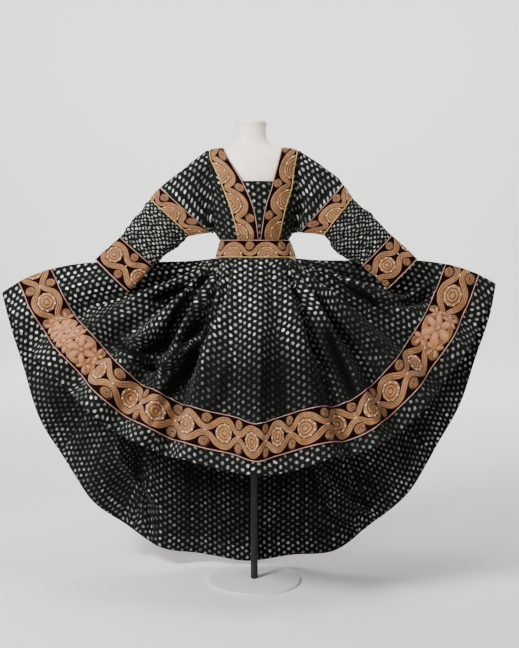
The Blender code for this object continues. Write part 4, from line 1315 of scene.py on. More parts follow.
def wide_repeat(pitch, width, medallion, disc, flowered=False):
    """One repeat of the wide border: a medallion between two braids and two discs.

    A flowered repeat has a cluster of petals in place of its medallion.
    """
    relief = Relief()
    middle = width / 2
    strand = WIDE_BRAID * width
    edge = WIDE_EDGE * width
    if flowered:
        relief.add(petals(FLOWER_SIZE * medallion, FLOWER_PETALS, CORAL), 0.0, middle)
        for x, y in CLUSTER_PLACES:
            relief.add(petals(CLUSTER_SIZE * medallion, CLUSTER_PETALS, CORAL), x * pitch,
                       middle + y * width)
    else:
        radii = [medallion * share for share in WIDE_RINGS]
        relief.add(turned(rings(radii), WIDE_STEPS), 0.0, middle)
        sequin_row(relief, WIDE_SEQUINS, WIDE_SEQUIN_START, 2 * math.pi,
                   WIDE_SEQUIN_REACH * medallion, middle)
    half = BRAID_REACH * strand
    rise = middle - edge - disc
    line = braid_line(pitch, medallion + half, rise, disc + half)
    for way in (1, -1):
        relief.add(swept(pitch, BRAID_STEPS,
                         lambda x, way=way: (line(x)[0], middle + way * line(x)[1]), strand,
                         braid_section()))
        relief.add(small_disc(disc), -pitch / 2, middle + way * rise)
    relief.add(sequin(), -pitch / 2, middle)
    return relief.as_motif()


def narrow_repeat(pitch, width, disc):
    """One repeat of the narrow border: a ringed half medallion under a braid, and a disc.

    The braid goes over the half medallion and dips to the border's edge under the disc.
    """
    relief = Relief()
    edge = NARROW_EDGE
    strand = NARROW_BRAID * width
    half = BRAID_REACH * strand
    rise = width - 2 * edge - disc
    medallion = min(width - 2 * edge - 2 * half, math.hypot(rise, pitch / 2) - disc - 2 * half)
    around = medallion + half
    reach = medallion - NARROW_TUCK
    low = (pitch * pitch / 4 - reach * reach) / (2 * reach)
    radii = [medallion * share for share in NARROW_RINGS]
    relief.add(turned(rings(radii), NARROW_STEPS, math.pi), 0.0, edge)
    line = braid_line(pitch, around, low, math.hypot(low, pitch / 2) - around)
    relief.add(swept(pitch, BRAID_STEPS, lambda x: (line(x)[0], edge + line(x)[1]), strand,
                     braid_section()))
    relief.add(small_disc(disc), -pitch / 2, width - edge - disc)
    sequin_row(relief, NARROW_SEQUINS, NARROW_SEQUIN_START, math.pi,
               NARROW_SEQUIN_REACH * medallion, edge)
    return relief.as_motif()


def through(places, pitch):
    """Maps between a pattern's own distances and real ones.

    The known real places are one repeat apart, and beyond them more repeats follow at the
    spacing that the last two places have.
    """
    first, last = places[1] - places[0], places[-1] - places[-2]
    more = range(1, EXTRA_REPEATS + 1)
    flat = [pitch * index for index in range(-EXTRA_REPEATS, len(places) + EXTRA_REPEATS)]
    real = [*(places[0] - step * first for step in reversed(more)), *places,
            *(places[-1] + step * last for step in more)]
    return (lambda x: np.interp(x, flat, real)), (lambda x: np.interp(x, real, flat))


# Materials: grains are noise scales, and reliefs the shares of the heights in a bump

Range = namedtuple("Range", "low high to_low to_high")
BLACK = (0.0, 0.0, 0.0, 1.0)
NOISE_SPREAD = (0.3, 0.7)

CREPE_ROUGHNESS = 0.85
CREPE_GLOSS = 0.06
CREPE_SHEEN = 0.02
CREPE_GRAIN = 1100.0
CREPE_CONTRAST = Range(*NOISE_SPREAD, 0.5, 1.0)
CREPE_BUMP = (0.0006, 0.7)
PULL_GRAIN = 38.0
WAVER = 0.013
FINE_DETAIL = 3.0
SOFT_DETAIL = 1.0
DOT_EDGE = Range(1.12, 0.66, 0.0, 1.0)
DOT_RELIEF = 0.6
DOT_SEED = 7.4
DIMMEST_DOT = 0.38
FOIL_METALLIC = 0.40
FOIL_ROUGHNESS = 0.34

# The foil's wear in patches, and painted shade that darkens it down the dress and to the
# wearer's left
WEAR_GRAIN = 6.0
WEAR = Range(0.38, 0.62, 0.55, 1.0)
PAINTED_DOWN_SHADE = Range(0.70, 1.04, 0.36, 1.0)
PAINTED_SIDE_SHADE = (0.08, 0.34)

# Pleat streaks of stretched noise: their grain, the painted shade that dims the dots in them,
# and their bump
PLEAT_GRAIN = (62.0, 3.0, 1.0)
PLEAT_SHADE = Range(0.36, 0.62, 0.30, 1.0)
PLEAT_RELIEF = 7.0
CRINKLE_STRETCH = (1.0, 2.2, 1.0)
CRINKLE_GRAIN = 75.0

# The georgettes of the bodice's fronts, with shade painted on their foil, of the skirt's
# front, with shade painted on its wearer's left, and of the lower sleeves
SHADED_FOIL = 0.45
PAINTED_LEFT_LIGHT = 0.50
FINE_ROWS = 0.9
FINE_DOT = (0.50, 0.33)
FINE_WAVER = 0.020
FINE_CREASES = 12.0

Yarn = namedtuple("Yarn", "pitch roughness metallic slant")
GOLD_YARN = Yarn(0.0016, 0.40, 0.30, 0.0)
PIPING_YARN = Yarn(0.003, 0.35, 0.5, 1.2)
SILK_YARN = Yarn(0.002, 0.5, 0.15, 0.0)
# How dark the pipings' and silk's grooves are painted, as shade, in shares of their colour
PIPING_SHADE = 0.4
SILK_SHADE = 0.35
YARN_SHEEN = 0.1
# The thread's colour: grains of the painted glints and of the patches, and the shares of
# stitches, painted glints, patches and the shade painted in the grooves
GLITTER_GRAIN = 330.0
PATCH_GRAIN = 45.0
STITCH_SHARE = 0.10
GLITTER_SHARE = 1.15
PATCH_SHARE = 0.40
RAISED_SHARE = 0.95
YARN_CONTRAST = Range(1.08, 2.10, 0.0, 1.0)
YARN_BUMP = (0.0004, 0.8)
GLITTER_RELIEF = 3.0

VELVET_ROUGHNESS = 0.95
VELVET_SHEEN = 0.01
VELVET_GLOSS = 0.05
VELVET_GRAIN = 900.0
VELVET_BUMP = (0.0004, 0.6)

FINISH_GRAIN = 60.0
FINISH_SPREAD = 0.06
FINISH_BUMP = (0.0002, 0.35)
METAL_GRAIN = 300.0
SHELL_GRAIN = 500.0
SHELL_ROUGHNESS = 0.48
SEQUIN_COLOUR = (0.95, 0.88, 0.78)
SEQUIN_ROUGHNESS = 0.25
SEQUIN_METALLIC = 0.2


class Graph:
    """A material's shader nodes."""

    def __init__(self, name, colour, roughness, metallic=0.0, sheen=0.0):
        self.material = bpy.data.materials.new(name)
        self.material.use_nodes = True
        self.tree = self.material.node_tree
        self.shader = self.tree.nodes["Principled BSDF"]
        self.shader.inputs["Base Color"].default_value = (*colour, 1.0)
        self.shader.inputs["Roughness"].default_value = roughness
        self.shader.inputs["Metallic"].default_value = metallic
        self.shader.inputs["Sheen Weight"].default_value = sheen

    def feed(self, socket, value):
        """Links a socket to another, or sets its constant value."""
        if isinstance(value, bpy.types.NodeSocket):
            self.tree.links.new(value, socket)
        else:
            socket.default_value = value

    def node(self, kind, output, settings=(), **inputs):
        """A node's output, with its settings and inputs."""
        node = self.tree.nodes.new(kind)
        for key, value in settings:
            setattr(node, key, value)
        for key, value in inputs.items():
            self.feed(node.inputs[key.replace("_", " ")], value)
        return node.outputs[output]

    def math(self, operation, *values):
        """The outcome of a sum on numbers."""
        node = self.tree.nodes.new("ShaderNodeMath")
        node.operation = operation
        for socket, value in zip(node.inputs, values):
            self.feed(socket, value)
        return node.outputs[0]

    def times(self, first, second):
        """The product of two numbers."""
        return self.math("MULTIPLY", first, second)

    def plus(self, first, second):
        """The sum of two numbers."""
        return self.math("ADD", first, second)

    def vector(self, operation, *values):
        """The outcome of a sum on vectors; a length is a number."""
        node = self.tree.nodes.new("ShaderNodeVectorMath")
        node.operation = operation
        for socket, value in zip(node.inputs, values):
            self.feed(socket, value)
        return node.outputs["Value" if operation == "LENGTH" else "Vector"]

    def blend(self, share, low, high):
        """Colours mixed by a share."""
        node = self.tree.nodes.new("ShaderNodeMix")
        node.data_type = "RGBA"
        self.feed(node.inputs["Factor"], share)
        self.feed(node.inputs[6], low)
        self.feed(node.inputs[7], high)
        return node.outputs[2]

    def span(self, value, band, kind="LINEAR"):
        """A number brought from one range to another."""
        return self.node("ShaderNodeMapRange", "Result", (("interpolation_type", kind),),
                         Value=value, From_Min=band.low, From_Max=band.high,
                         To_Min=band.to_low, To_Max=band.to_high)

    def noise(self, where, scale, detail=2.0):
        """Soft noise."""
        return self.node("ShaderNodeTexNoise", "Fac", (), Vector=where, Scale=scale,
                         Detail=detail)

    def places(self, layer=None):
        """Object coordinates, or the places of a UV layer."""
        if layer:
            return self.node("ShaderNodeUVMap", "UV", (("uv_map", layer),))
        return self.node("ShaderNodeTexCoord", "Object")

    def axis(self, where, letter):
        """One coordinate of places."""
        return self.node("ShaderNodeSeparateXYZ", letter, (), Vector=where)

    def attribute(self, name):
        """A number that the mesh keeps."""
        return self.node("ShaderNodeAttribute", "Fac", (("attribute_name", name),))

    def use(self, name, value):
        """Feeds one of the shader's sockets."""
        self.feed(self.shader.inputs[name], value)

    def bump(self, height, distance, strength=1.0):
        """Raises the surface by a height texture."""
        normal = self.node("ShaderNodeBump", "Normal", (), Height=height, Distance=distance,
                           Strength=strength)
        self.use("Normal", normal)


def georgette(name, settings, pitch, dot, brightest=1.0, waver=WAVER, creased=0.0,
              painted_left_light=1.0):
    """Crepe georgette with rows of foil dots; pitch and dot are (across, down) in metres.

    brightest is the foil's lightness, below 1 where shade is painted on it, waver how far
    gathers pull the dots about, creased how deep the crinkles are, and the last argument how
    much of the foil's light is left on the wearer's left, the rest being painted shade.
    """
    graph = Graph(name, settings.cloth_colour, CREPE_ROUGHNESS, sheen=CREPE_SHEEN)
    graph.use("Specular IOR Level", CREPE_GLOSS)
    here = graph.places()
    where = graph.places("flat")
    pull = graph.node("ShaderNodeTexNoise", "Color", (), Vector=where, Scale=PULL_GRAIN,
                      Detail=FINE_DETAIL)
    pull = graph.vector("SUBTRACT", pull, (0.5, 0.5, 0.5))
    where = graph.vector("ADD", where, graph.vector("MULTIPLY", pull, (waver, waver, 0.0)))
    found = []
    for half in (0.0, 0.5):
        lattice = graph.vector("ADD", graph.vector("DIVIDE", where, (*pitch, 1.0)),
                               (half, half, 0.0))
        cell = graph.vector("FLOOR", lattice)
        local = graph.vector("SUBTRACT", graph.vector("SUBTRACT", lattice, cell),
                             (0.5, 0.5, 0.0))
        local = graph.vector("MULTIPLY", local, (2 * pitch[0] / dot[0], 2 * pitch[1] / dot[1],
                                                 0.0))
        lot = graph.node("ShaderNodeTexWhiteNoise", "Value", (),
                         Vector=graph.vector("ADD", cell, (half * DOT_SEED, 0.0, 0.0)))
        found.append((graph.vector("LENGTH", local), lot))
    (reach, lot), (other_reach, other_lot) = found
    nearer = graph.math("LESS_THAN", reach, other_reach)
    lot = graph.plus(graph.times(lot, nearer),
                     graph.times(other_lot, graph.math("SUBTRACT", 1.0, nearer)))
    mask = graph.span(graph.math("MINIMUM", reach, other_reach), DOT_EDGE, "SMOOTHSTEP")
    crepe = graph.noise(here, CREPE_GRAIN)
    wear_and_shade = graph.span(graph.noise(here, WEAR_GRAIN, SOFT_DETAIL), WEAR)
    # Painted shade: the foil is darker low down the dress and on the wearer's left
    wear_and_shade = graph.times(wear_and_shade, graph.span(graph.axis(here, "Z"), PAINTED_DOWN_SHADE))
    sideways = graph.span(graph.axis(here, "X"), Range(*PAINTED_SIDE_SHADE, 1.0, painted_left_light))
    wear_and_shade = graph.times(wear_and_shade, sideways)
    # Painted shade and painted highlight that the mesh keeps; lit is the light that is left
    lit = graph.math("SUBTRACT", 1.0, graph.attribute("shade"))
    wear_and_shade = graph.math("MINIMUM", graph.times(wear_and_shade, graph.times(lit, lit)), 1.0)
    # Painted shade of pleat streaks: the dots are dimmer along stretched noise that also bumps
    # the cloth
    pleat_relief_and_shade = graph.noise(graph.vector("MULTIPLY", where, PLEAT_GRAIN), 1.0, SOFT_DETAIL)
    bright = graph.span(graph.times(lot, lot),
                        Range(0.0, 1.0, DIMMEST_DOT * brightest, brightest))
    bright = graph.times(graph.times(bright, wear_and_shade), graph.span(pleat_relief_and_shade, PLEAT_SHADE))
    foil = graph.blend(bright, BLACK, (*settings.dot_colour, 1.0))
    base = graph.blend(graph.times(graph.span(crepe, CREPE_CONTRAST), lit), BLACK,
                       (*settings.cloth_colour, 1.0))
    graph.use("Base Color", graph.blend(mask, base, foil))
    graph.use("Metallic", graph.times(mask, FOIL_METALLIC))
    graph.use("Roughness",
              graph.span(mask, Range(0.0, 1.0, CREPE_ROUGHNESS, FOIL_ROUGHNESS)))
    height = graph.plus(graph.times(mask, DOT_RELIEF), crepe)
    height = graph.plus(height, graph.times(pleat_relief_and_shade, PLEAT_RELIEF))
    if creased:
        crinkles = graph.noise(graph.vector("MULTIPLY", where, CRINKLE_STRETCH),
                               CRINKLE_GRAIN, FINE_DETAIL)
        height = graph.plus(height, graph.times(crinkles, creased))
    graph.bump(height, *CREPE_BUMP)
    return graph.material


def thread(name, colour, dark, yarn):
    """Close stitches across a motif's run, with shade painted dark in the grooves and the
    ridges left light.
    """
    graph = Graph(name, colour, yarn.roughness, yarn.metallic, YARN_SHEEN)
    here = graph.places()
    where = graph.places("thread")
    run = graph.plus(graph.axis(where, "X"), graph.times(graph.axis(where, "Y"), yarn.slant))
    stitch = graph.math("SINE", graph.times(run, 2 * math.pi / yarn.pitch))
    # Painted glints: fine noise lightens the thread's colour in spots
    glitter = graph.noise(here, GLITTER_GRAIN)
    share = graph.plus(graph.times(stitch, STITCH_SHARE), graph.times(glitter, GLITTER_SHARE))
    share = graph.plus(share, graph.times(graph.noise(here, PATCH_GRAIN), PATCH_SHARE))
    # Painted shade: the thread is darker where it lies low, in the grooves
    share = graph.plus(share, graph.times(graph.attribute("raised"), RAISED_SHARE))
    share = graph.span(share, YARN_CONTRAST)
    graph.use("Base Color", graph.blend(share, (*dark, 1.0), (*colour, 1.0)))
    graph.bump(graph.plus(stitch, graph.times(glitter, GLITTER_RELIEF)), *YARN_BUMP)
    return graph.material


def plush(name, colour):
    """Velvet."""
    graph = Graph(name, colour, VELVET_ROUGHNESS, sheen=VELVET_SHEEN)
    graph.use("Specular IOR Level", VELVET_GLOSS)
    graph.bump(graph.noise(graph.places(), VELVET_GRAIN), *VELVET_BUMP)
    return graph.material


def paint(name, colour, roughness, grain, metallic=0.0):
    """A plain finish with a faint grain."""
    graph = Graph(name, colour, roughness, metallic)
    here = graph.places()
    spread = Range(*NOISE_SPREAD, roughness - FINISH_SPREAD, roughness + FINISH_SPREAD)
    graph.use("Roughness", graph.span(graph.noise(here, FINISH_GRAIN), spread))
    graph.bump(graph.noise(here, grain), *FINISH_BUMP)
    return graph.material


class Stock:
    """The materials, each made once."""

    def __init__(self, settings):
        pitch = (settings.dot_pitch_across, settings.dot_pitch_down)
        dot = (settings.dot_width, settings.dot_height)
        fine = settings.fine_dot_pitch
        self.georgette = georgette("dotted_georgette_cloth", settings, pitch, dot)
        # A copy whose foil is painted dimmer, as shade, for the bodice's fronts
        self.shaded = georgette("shaded_front_dotted_georgette", settings, pitch, dot, SHADED_FOIL)
        self.wear_and_shade = georgette("side_shaded_dotted_georgette", settings, pitch, dot,
                              painted_left_light=PAINTED_LEFT_LIGHT)
        self.crinkled = georgette("fine_dotted_georgette", settings, (fine, fine * FINE_ROWS),
                                  (fine * FINE_DOT[0], fine * FINE_DOT[1]), 1.0, FINE_WAVER,
                                  FINE_CREASES)
        self.velvet = plush("wine_black_velvet", settings.velvet_colour)
        gold = thread("gold_thread", settings.gold_colour, settings.gold_groove_shade, GOLD_YARN)
        silver, yellow, coral = (
            thread(name, colour, tuple(dark * part for part in colour), yarn)
            for name, colour, dark, yarn in (
                ("pinkish_silver_piping", settings.silver_colour, PIPING_SHADE, PIPING_YARN),
                ("yellow_gold_piping", settings.yellow_colour, PIPING_SHADE, PIPING_YARN),
                ("coral_silk", settings.coral_colour, SILK_SHADE, SILK_YARN)))
        spark = paint("sequin_foil", SEQUIN_COLOUR, SEQUIN_ROUGHNESS, METAL_GRAIN,
                      SEQUIN_METALLIC)
        self.threads = [gold, silver, yellow, coral, spark]


def stock():
    """The materials of this run."""
    if "made" not in STOCK:
        STOCK["made"] = Stock(bpy.context.scene.dress)
    return STOCK["made"]


STOCK = {}


# Pieces

def keep(piece, slot, *nodes):
    """Hands a piece to the frame."""
    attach(piece, "root")
    if nodes:
        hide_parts(*nodes)
    return piece


def dotted(name, patch, develop=None, material=None, shade=None):
    """A piece of dotted georgette that stands for the solid of its name."""
    piece = cloth(name + "_cloth", patch, develop or straight(patch),
                  material or stock().georgette, shade=shade)
    return keep(piece, "dotted_georgette", name)


def trimmed(name, patch, relief, width, warp, away=0.0):
    """A velvet border that stands for the solid of its name, with its embroidery."""
    ground = cloth(name + "_ground", patch, straight(patch), stock().velvet, away)
    keep(ground, "gold_embroidery", name)
    top = away + SHELL / 2
    work = relief.lay(name + "_embroidery", patch, width, top - GROUND, warp, stock().threads)
    keep(work, "gold_embroidery")
    return ground, work


def piping(relief, start, end, width, pipings):
    """Adds a round piping along both edges."""
    lower, upper = pipings
    relief.add(rope(end - start, PIPING_EDGE, LOWER_PIPING, lower), start)
    relief.add(rope(end - start, width - PIPING_EDGE, UPPER_PIPING, upper), start)


def ring_border(name, patch, first, count, motif_of, pipings):
    """A border all round, with a count of repeats; first is the share where one stands."""
    place = float(patch.distance(first))
    step = patch.length / count
    relief = Relief()
    piping(relief, 0.0, patch.length, patch.width, pipings)
    motif = motif_of(step)
    for index in range(count):
        relief.add(motif, place + index * step)
    return trimmed(name, patch, relief, patch.width, lambda x: x)


def open_border(name, patch, places, pitch, width, motifs, pipings, away=0.0):
    """A border between two ends, with a repeat at each known place and on beyond them.

    motifs maps the repeats' numbers to motifs of their own; None is for all the others.
    """
    warp, unwarp = through(places, pitch)
    start, end = float(unwarp(0.0)), float(unwarp(patch.length))
    relief = Relief()
    piping(relief, start, end, width, pipings)
    for index in range(math.floor(start / pitch), math.ceil(end / pitch) + EXTRA_REPEATS):
        relief.add(motifs.get(index, motifs[None]), index * pitch)
    relief.cut(start + END_CUT, end - END_CUT)
    return trimmed(name, patch, relief, width, warp, away)


def skirt_border(name, half, places, flowered):
    """The wide border of one half of the skirt."""
    settings = bpy.context.scene.dress
    patch = Patch(half.border_shape, SKIRT_BORDER_GRID)
    pitch = settings.wide_pitch
    if places:
        known = [float(patch.distance(share)) for share in places]
    else:
        count = round(patch.length / pitch)
        known = [patch.length * (index + 0.5) / count for index in range(count)]
    plain, petalled = (wide_repeat(pitch, BORDER_WIDTH, settings.medallion_radius, WIDE_DISC,
                                   flowers) for flowers in (False, True))
    motifs = {None: plain, **{index: petalled for index in flowered}}
    return open_border(name, patch, known, pitch, BORDER_WIDTH, motifs, (SILVER, SILVER),
                       CLOTH / 2 + SEAM + SHELL / 2)


def front_half():
    """The front half of the skirt."""
    return Half(SKIRT_FRONT_RAYS, SKIRT_FRONT_FOLDS, SKIRT_FRONT_CREASES,
                SKIRT_FRONT_SHADOWS, FRONT_GORES, FRONT_DROPS, -1.0)


def back_half():
    """The back half of the skirt."""
    return Half(SKIRT_BACK_RAYS, SKIRT_BACK_FOLDS, SKIRT_BACK_CREASES,
                SKIRT_BACK_SHADOWS, BACK_GORES, BACK_DROPS, 1.0)


def crinkle(side):
    """Small uneven ridges of the lower sleeves."""
    def fold(a, b):
        turn = 2 * math.pi * a
        fine = rippled(FINE_CRINKLES, turn, b) * rippled(CRINKLE_PATCHES, turn, b)
        return (rippled(CRINKLES, turn, b, side) + fine) * fade(b, LOWER_SLEEVE_RISE)
    return fold


def loose(side):
    """Soft folds of the upper sleeves, with a deep one beside the armhole."""
    def fold(a, b):
        dents = dented(SLEEVE_FRONT, a, b) * dented(SLEEVE_DENTS, b, a)
        total = dents + rippled(SLEEVE_RIPPLES, 2 * math.pi * a, b, side)
        return total * fade(b, UPPER_SLEEVE_RISE)
    return fold


def length_setting(name, description, default):
    """A setting in metres."""
    return bpy.props.FloatProperty(name=name, description=description, default=default,
                                   unit="LENGTH", precision=4)


def colour_setting(name, description, default):
    """A setting that is a colour."""
    return bpy.props.FloatVectorProperty(name=name, description=description, default=default,
                                         subtype="COLOR")


class DressSettings(bpy.types.PropertyGroup):
    """Sizes and colours of the dress."""

    dot_pitch_across: length_setting(
        "Dot pitch across", "Distance between dots of one row", 0.0365)
    dot_pitch_down: length_setting(
        "Dot pitch down", "Distance between rows that line up", 0.024)
    dot_width: length_setting("Dot width", "Width of a foil dot", 0.0118)
    dot_height: length_setting("Dot height", "Height of a foil dot", 0.0116)
    fine_dot_pitch: length_setting(
        "Fine dot pitch", "Distance between dots on the lower sleeves", 0.0200)
    wide_pitch: length_setting(
        "Medallion pitch", "Distance between the skirt border's medallions", 0.128)
    narrow_pitch: length_setting(
        "Half medallion pitch", "Distance between half medallions", 0.111)
    medallion_radius: length_setting(
        "Medallion radius", "Radius of the skirt border's medallions", 0.0320)
    cloth_colour: colour_setting("Cloth", "Colour of the georgette", (0.0050, 0.0066, 0.0058))
    dot_colour: colour_setting("Dots", "Colour of the foil dots", (0.78, 0.77, 0.70))
    velvet_colour: colour_setting(
        "Velvet", "Colour of the borders' ground", (0.0060, 0.0009, 0.0012))
    gold_colour: colour_setting(
        "Gold thread", "Colour of the embroidery", (0.555, 0.257, 0.086))
    # The colour painted in the embroidery's grooves, as shade
    gold_groove_shade: colour_setting(
        "Dark gold thread", "Colour of the embroidery's darker threads",
        (0.055, 0.017, 0.005))
    silver_colour: colour_setting(
        "Silver piping", "Colour of the pinkish silver piping", (0.55, 0.30, 0.25))
    yellow_colour: colour_setting(
        "Gold piping", "Colour of the yellow gold piping", (0.66, 0.48, 0.16))
    coral_colour: colour_setting("Coral silk", "Colour of the flowers", (0.60, 0.245, 0.105))
    form_colour: colour_setting("Form", "Colour of the dress form", (0.93, 0.82, 0.68))


class DRESS_OT_form(bpy.types.Operator):
    """Builds the dress form's torso, pole and base"""

    bl_idname = "dress.form"
    bl_label = "Dress form"

    def execute(self, context):
        heights = np.array([ring.height for ring in FORM_RINGS])
        steps = np.linspace(0, 1, FORM_STEPS + 1)[:-1]
        levels = np.concatenate([mix(low, high, steps)
                                 for low, high in zip(heights, heights[1:])] + [heights[-1:]])
        bm = flat_grid(FORM_COLUMNS, len(levels) - 1)
        for vert in bm.verts:
            level = float(levels[round((vert.co.y + GRID_HALF) * (len(levels) - 1))])
            turn = 2 * math.pi * (vert.co.x + GRID_HALF)
            width, depth, shift = (float(read(FORM_RINGS, level, column))
                                   for column in ("half_width", "half_depth", "shift"))
            vert.co = (shift + width * math.cos(turn), depth * math.sin(turn), level)
        bmesh.ops.remove_doubles(bm, verts=bm.verts, dist=RELIEF_WELD)
        ends = [edge for edge in bm.edges if edge.is_boundary]
        bmesh.ops.holes_fill(bm, edges=ends, sides=0)
        for face in [face for face in bm.faces if len(face.verts) > 4]:
            for share in FORM_INSETS:
                bmesh.ops.inset_region(bm, faces=[face], thickness=FORM_INSET_WIDTH * share,
                                       use_even_offset=True)
        bmesh.ops.recalc_face_normals(bm, faces=bm.faces)
        mesh = as_mesh(bm, "form_torso_shell")
        lift(mesh)
        mesh.materials.append(paint("ivory_form_shell", context.scene.dress.form_colour,
                                    SHELL_ROUGHNESS, SHELL_GRAIN))
        keep(link("form_torso_shell", mesh), "form_shell", "form_torso")

        for part in STAND:
            bm = bmesh.new()
            bmesh.ops.create_cone(bm, cap_ends=True, segments=STAND_SIDES,
                                  radius1=part.radius, radius2=part.radius,
                                  depth=part.high - part.low)
            bmesh.ops.translate(bm, verts=bm.verts, vec=(0, 0, (part.low + part.high) / 2))
            rims = [item for item in bm.edges
                    if len({round(v.co.z, LEVEL_DIGITS) for v in item.verts}) == 1]
            bmesh.ops.bevel(bm, geom=rims, offset=part.edge, affect="EDGES",
                            segments=EDGE_STEPS, profile=0.5, material=-1)
            mesh = as_mesh(bm, part.name + "_painted")
            lift(mesh)
            mesh.set_sharp_from_angle(angle=SHARP_ANGLE)
            mesh.materials.append(paint(part.slot + "_finish", part.colour, part.roughness,
                                        METAL_GRAIN))
            keep(link(part.name + "_painted", mesh), part.slot, part.name)
        return {"FINISHED"}


class DRESS_OT_bodice(bpy.types.Operator):
    """Builds the bodice's fronts, back and neck insert"""

    bl_idname = "dress.bodice"
    bl_label = "Bodice"

    def execute(self, context):
        back = dotted("bodice_back", Patch(back_panel_shape, BACK_GRID))
        # The fronts take the georgette whose foil is painted dimmer, as shade
        for side, word, area in ((-1, "right", 0.0218), (1, "left", 0.0145)):
            front = dotted("bodice_front_" + word, Patch(front_panel_shape(side), PANEL_GRID),
                           material=stock().shaded)
        insert = dotted("neck_insert", Patch(neck_insert_shape, INSERT_GRID))
        return {"FINISHED"}


class DRESS_OT_neck_borders(bpy.types.Operator):
    """Builds the embroidered borders along the neck"""

    bl_idname = "dress.neck_borders"
    bl_label = "Neck borders"

    def execute(self, context):
        settings = context.scene.dress
        for side, word in SIDES:
            patch = Patch(neck_border_shape(side, CLOTH / 2), NECK_GRID)
            heights = NECK_MEDALLIONS_RIGHT if side < 0 else NECK_MEDALLIONS_LEFT
            shares = [(height - BODICE_FOOT) / (NECK_HEAD - BODICE_FOOT) for height in heights]
            places = [patch.length * share if share > 1 else float(patch.distance(share))
                      for share in shares]
            pitch = settings.narrow_pitch
            motif = narrow_repeat(pitch, patch.width, NECK_DISC)
            ground, work = open_border("neck_border_" + word, patch, places, pitch,
                                       patch.width, {None: motif}, (YELLOW, SILVER))
        return {"FINISHED"}


class DRESS_OT_waistband(bpy.types.Operator):
    """Builds the embroidered waistband"""

    bl_idname = "dress.waistband"
    bl_label = "Waistband"

    def execute(self, context):
        patch = Patch(waistband_shape(-CLOTH / 2), WAISTBAND_GRID, closed=True)
        ground, work = ring_border("waistband", patch, WAIST_MEDALLION, WAIST_REPEATS,
                                   lambda step: narrow_repeat(step, patch.width, WAIST_DISC),
                                   (YELLOW, SILVER))
        return {"FINISHED"}


class DRESS_OT_sleeves(bpy.types.Operator):
    """Builds both sleeves with their bands and cuffs"""

    bl_idname = "dress.sleeves"
    bl_label = "Sleeves"

    def execute(self, context):
        for side, word in SIDES:
            upper = Patch(sleeve_shape(side, UPPER_SLEEVE, loose(side)), UPPER_SLEEVE_GRID,
                          closed=True)
            piece = dotted("sleeve_upper_" + word, upper)
            lower = Patch(sleeve_shape(side, LOWER_SLEEVE, crinkle(side)), LOWER_SLEEVE_GRID,
                          closed=True)
            piece = dotted("sleeve_lower_" + word, lower, material=stock().crinkled)
            band = Patch(sleeve_shape(side, SLEEVE_BAND), SLEEVE_BAND_GRID, closed=True)
            ground, work = ring_border(
                "sleeve_band_" + word, band, SLEEVE_MEDALLION[side], SLEEVE_REPEATS,
                lambda step: narrow_repeat(step, band.width, SLEEVE_DISC), (YELLOW, SILVER))
            cuff = Patch(sleeve_shape(side, CUFF), CUFF_GRID, closed=True)
            ground, work = ring_border(
                "cuff_" + word, cuff, CUFF_MEDALLION[side], CUFF_REPEATS,
                lambda step: wide_repeat(step, cuff.width, CUFF_MEDALLION_RADIUS, CUFF_DISC),
                (SILVER, SILVER))
        return {"FINISHED"}


class DRESS_OT_skirt_front(bpy.types.Operator):
    """Builds the front half of the skirt with its border"""

    bl_idname = "dress.skirt_front"
    bl_label = "Skirt front"

    def execute(self, context):
        half = front_half()
        patch = Patch(half.shape, SKIRT_FRONT_GRID)
        piece = dotted("skirt_front", patch, half.gored(patch), stock().wear_and_shade, half.shade)
        ground, work = skirt_border("skirt_border_front", half, FRONT_MEDALLIONS,
                                    FRONT_FLOWERED)
        return {"FINISHED"}


class DRESS_OT_skirt_back(bpy.types.Operator):
    """Builds the back half of the skirt with its border"""

    bl_idname = "dress.skirt_back"
    bl_label = "Skirt back"

    def execute(self, context):
        half = back_half()
        patch = Patch(half.shape, SKIRT_BACK_GRID)
        piece = dotted("skirt_back", patch, half.gored(patch), shade=half.shade)
        ground, work = skirt_border("skirt_border_back", half, (), ())
        return {"FINISHED"}


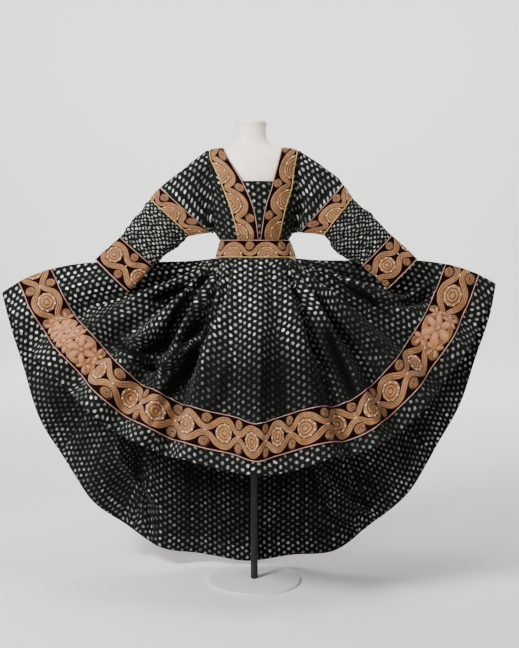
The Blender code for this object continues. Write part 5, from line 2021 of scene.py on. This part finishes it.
class DRESS_OT_stage(bpy.types.Operator):
    """Builds the pale floor and backdrop, the lights and the camera"""

    bl_idname = "dress.stage"
    bl_label = "Stage"

    def execute(self, context):
        bm = flat_grid(1, BACKDROP_STEPS)
        cove_end = FLOOR_RUN + COVE_RUN
        for vert in bm.verts:
            run = (vert.co.y + GRID_HALF) * (cove_end + WALL_RUN)
            if run < FLOOR_RUN:
                y, z = FLOOR_FRONT + run, 0.0
            elif run < cove_end:
                turn = (run - FLOOR_RUN) / COVE_RUN * math.pi / 2
                y = FLOOR_BACK + COVE_RADIUS * math.sin(turn)
                z = COVE_RADIUS - COVE_RADIUS * math.cos(turn)
            else:
                y, z = FLOOR_BACK + COVE_RADIUS, COVE_RADIUS + run - cove_end
            vert.co = (vert.co.x * BACKDROP_WIDTH, y, z - FLOOR_SUNK)
        bmesh.ops.recalc_face_normals(bm, faces=bm.faces)
        mesh = as_mesh(bm, "pale_backdrop")
        mesh.shade_smooth()
        graph = Graph("pale_backdrop", BACKDROP_COLOUR, BACKDROP_ROUGHNESS)
        mesh.materials.append(graph.material)
        link("pale_backdrop", mesh)

        world = bpy.data.worlds.new("studio")
        context.scene.world = world
        world.use_nodes = True
        sky = world.node_tree.nodes["Background"]
        sky.inputs["Color"].default_value = WORLD_COLOUR
        sky.inputs["Strength"].default_value = WORLD_STRENGTH
        for lamp in LAMPS:
            data = bpy.data.lights.new(lamp.name, "AREA")
            data.size = lamp.size
            data.energy = lamp.energy
            light = link(lamp.name, data)
            light.location = lamp.place
            way = Vector(lamp.aim) - Vector(lamp.place)
            light.rotation_euler = way.to_track_quat("-Z", "Y").to_euler()

        data = bpy.data.cameras.new("photo_camera")
        data.sensor_fit = "HORIZONTAL"
        data.sensor_width = SENSOR_WIDTH
        data.lens = SENSOR_WIDTH * FOCAL_PIXELS / PICTURE_PIXELS
        data.dof.use_dof = False
        camera = link("photo_camera", data)
        camera.location = CAMERA_PLACE
        camera.rotation_euler = (CAMERA_TILT, 0.0, 0.0)
        context.scene.camera = camera
        return {"FINISHED"}


class DRESS_PT_panel(bpy.types.Panel):
    """Lists the dress's pieces and settings"""

    bl_idname = "DRESS_PT_panel"
    bl_label = "Embroidered dress"
    bl_space_type = "VIEW_3D"
    bl_region_type = "UI"
    bl_category = "Dress"

    def draw(self, context):
        column = self.layout.column()
        for operator in OPERATORS:
            column.operator(operator.bl_idname)
        for key in DressSettings.__annotations__:
            column.prop(context.scene.dress, key)


OPERATORS = (DRESS_OT_form, DRESS_OT_bodice, DRESS_OT_neck_borders, DRESS_OT_waistband,
             DRESS_OT_sleeves, DRESS_OT_skirt_front, DRESS_OT_skirt_back, DRESS_OT_stage)
CLASSES = (DressSettings, *OPERATORS, DRESS_PT_panel)


def register():
    """Registers the classes and the scene's settings."""
    for item in CLASSES:
        bpy.utils.register_class(item)
    bpy.types.Scene.dress = bpy.props.PointerProperty(type=DressSettings)


def unregister():
    """Takes the classes and settings away again."""
    del bpy.types.Scene.dress
    for item in reversed(CLASSES):
        bpy.utils.unregister_class(item)


def main():
    """Builds every piece and the stage."""
    register()
    for operator in OPERATORS:
        group, name = operator.bl_idname.split(".")
        getattr(getattr(bpy.ops, group), name)()


if __name__ == "__main__":
    main()
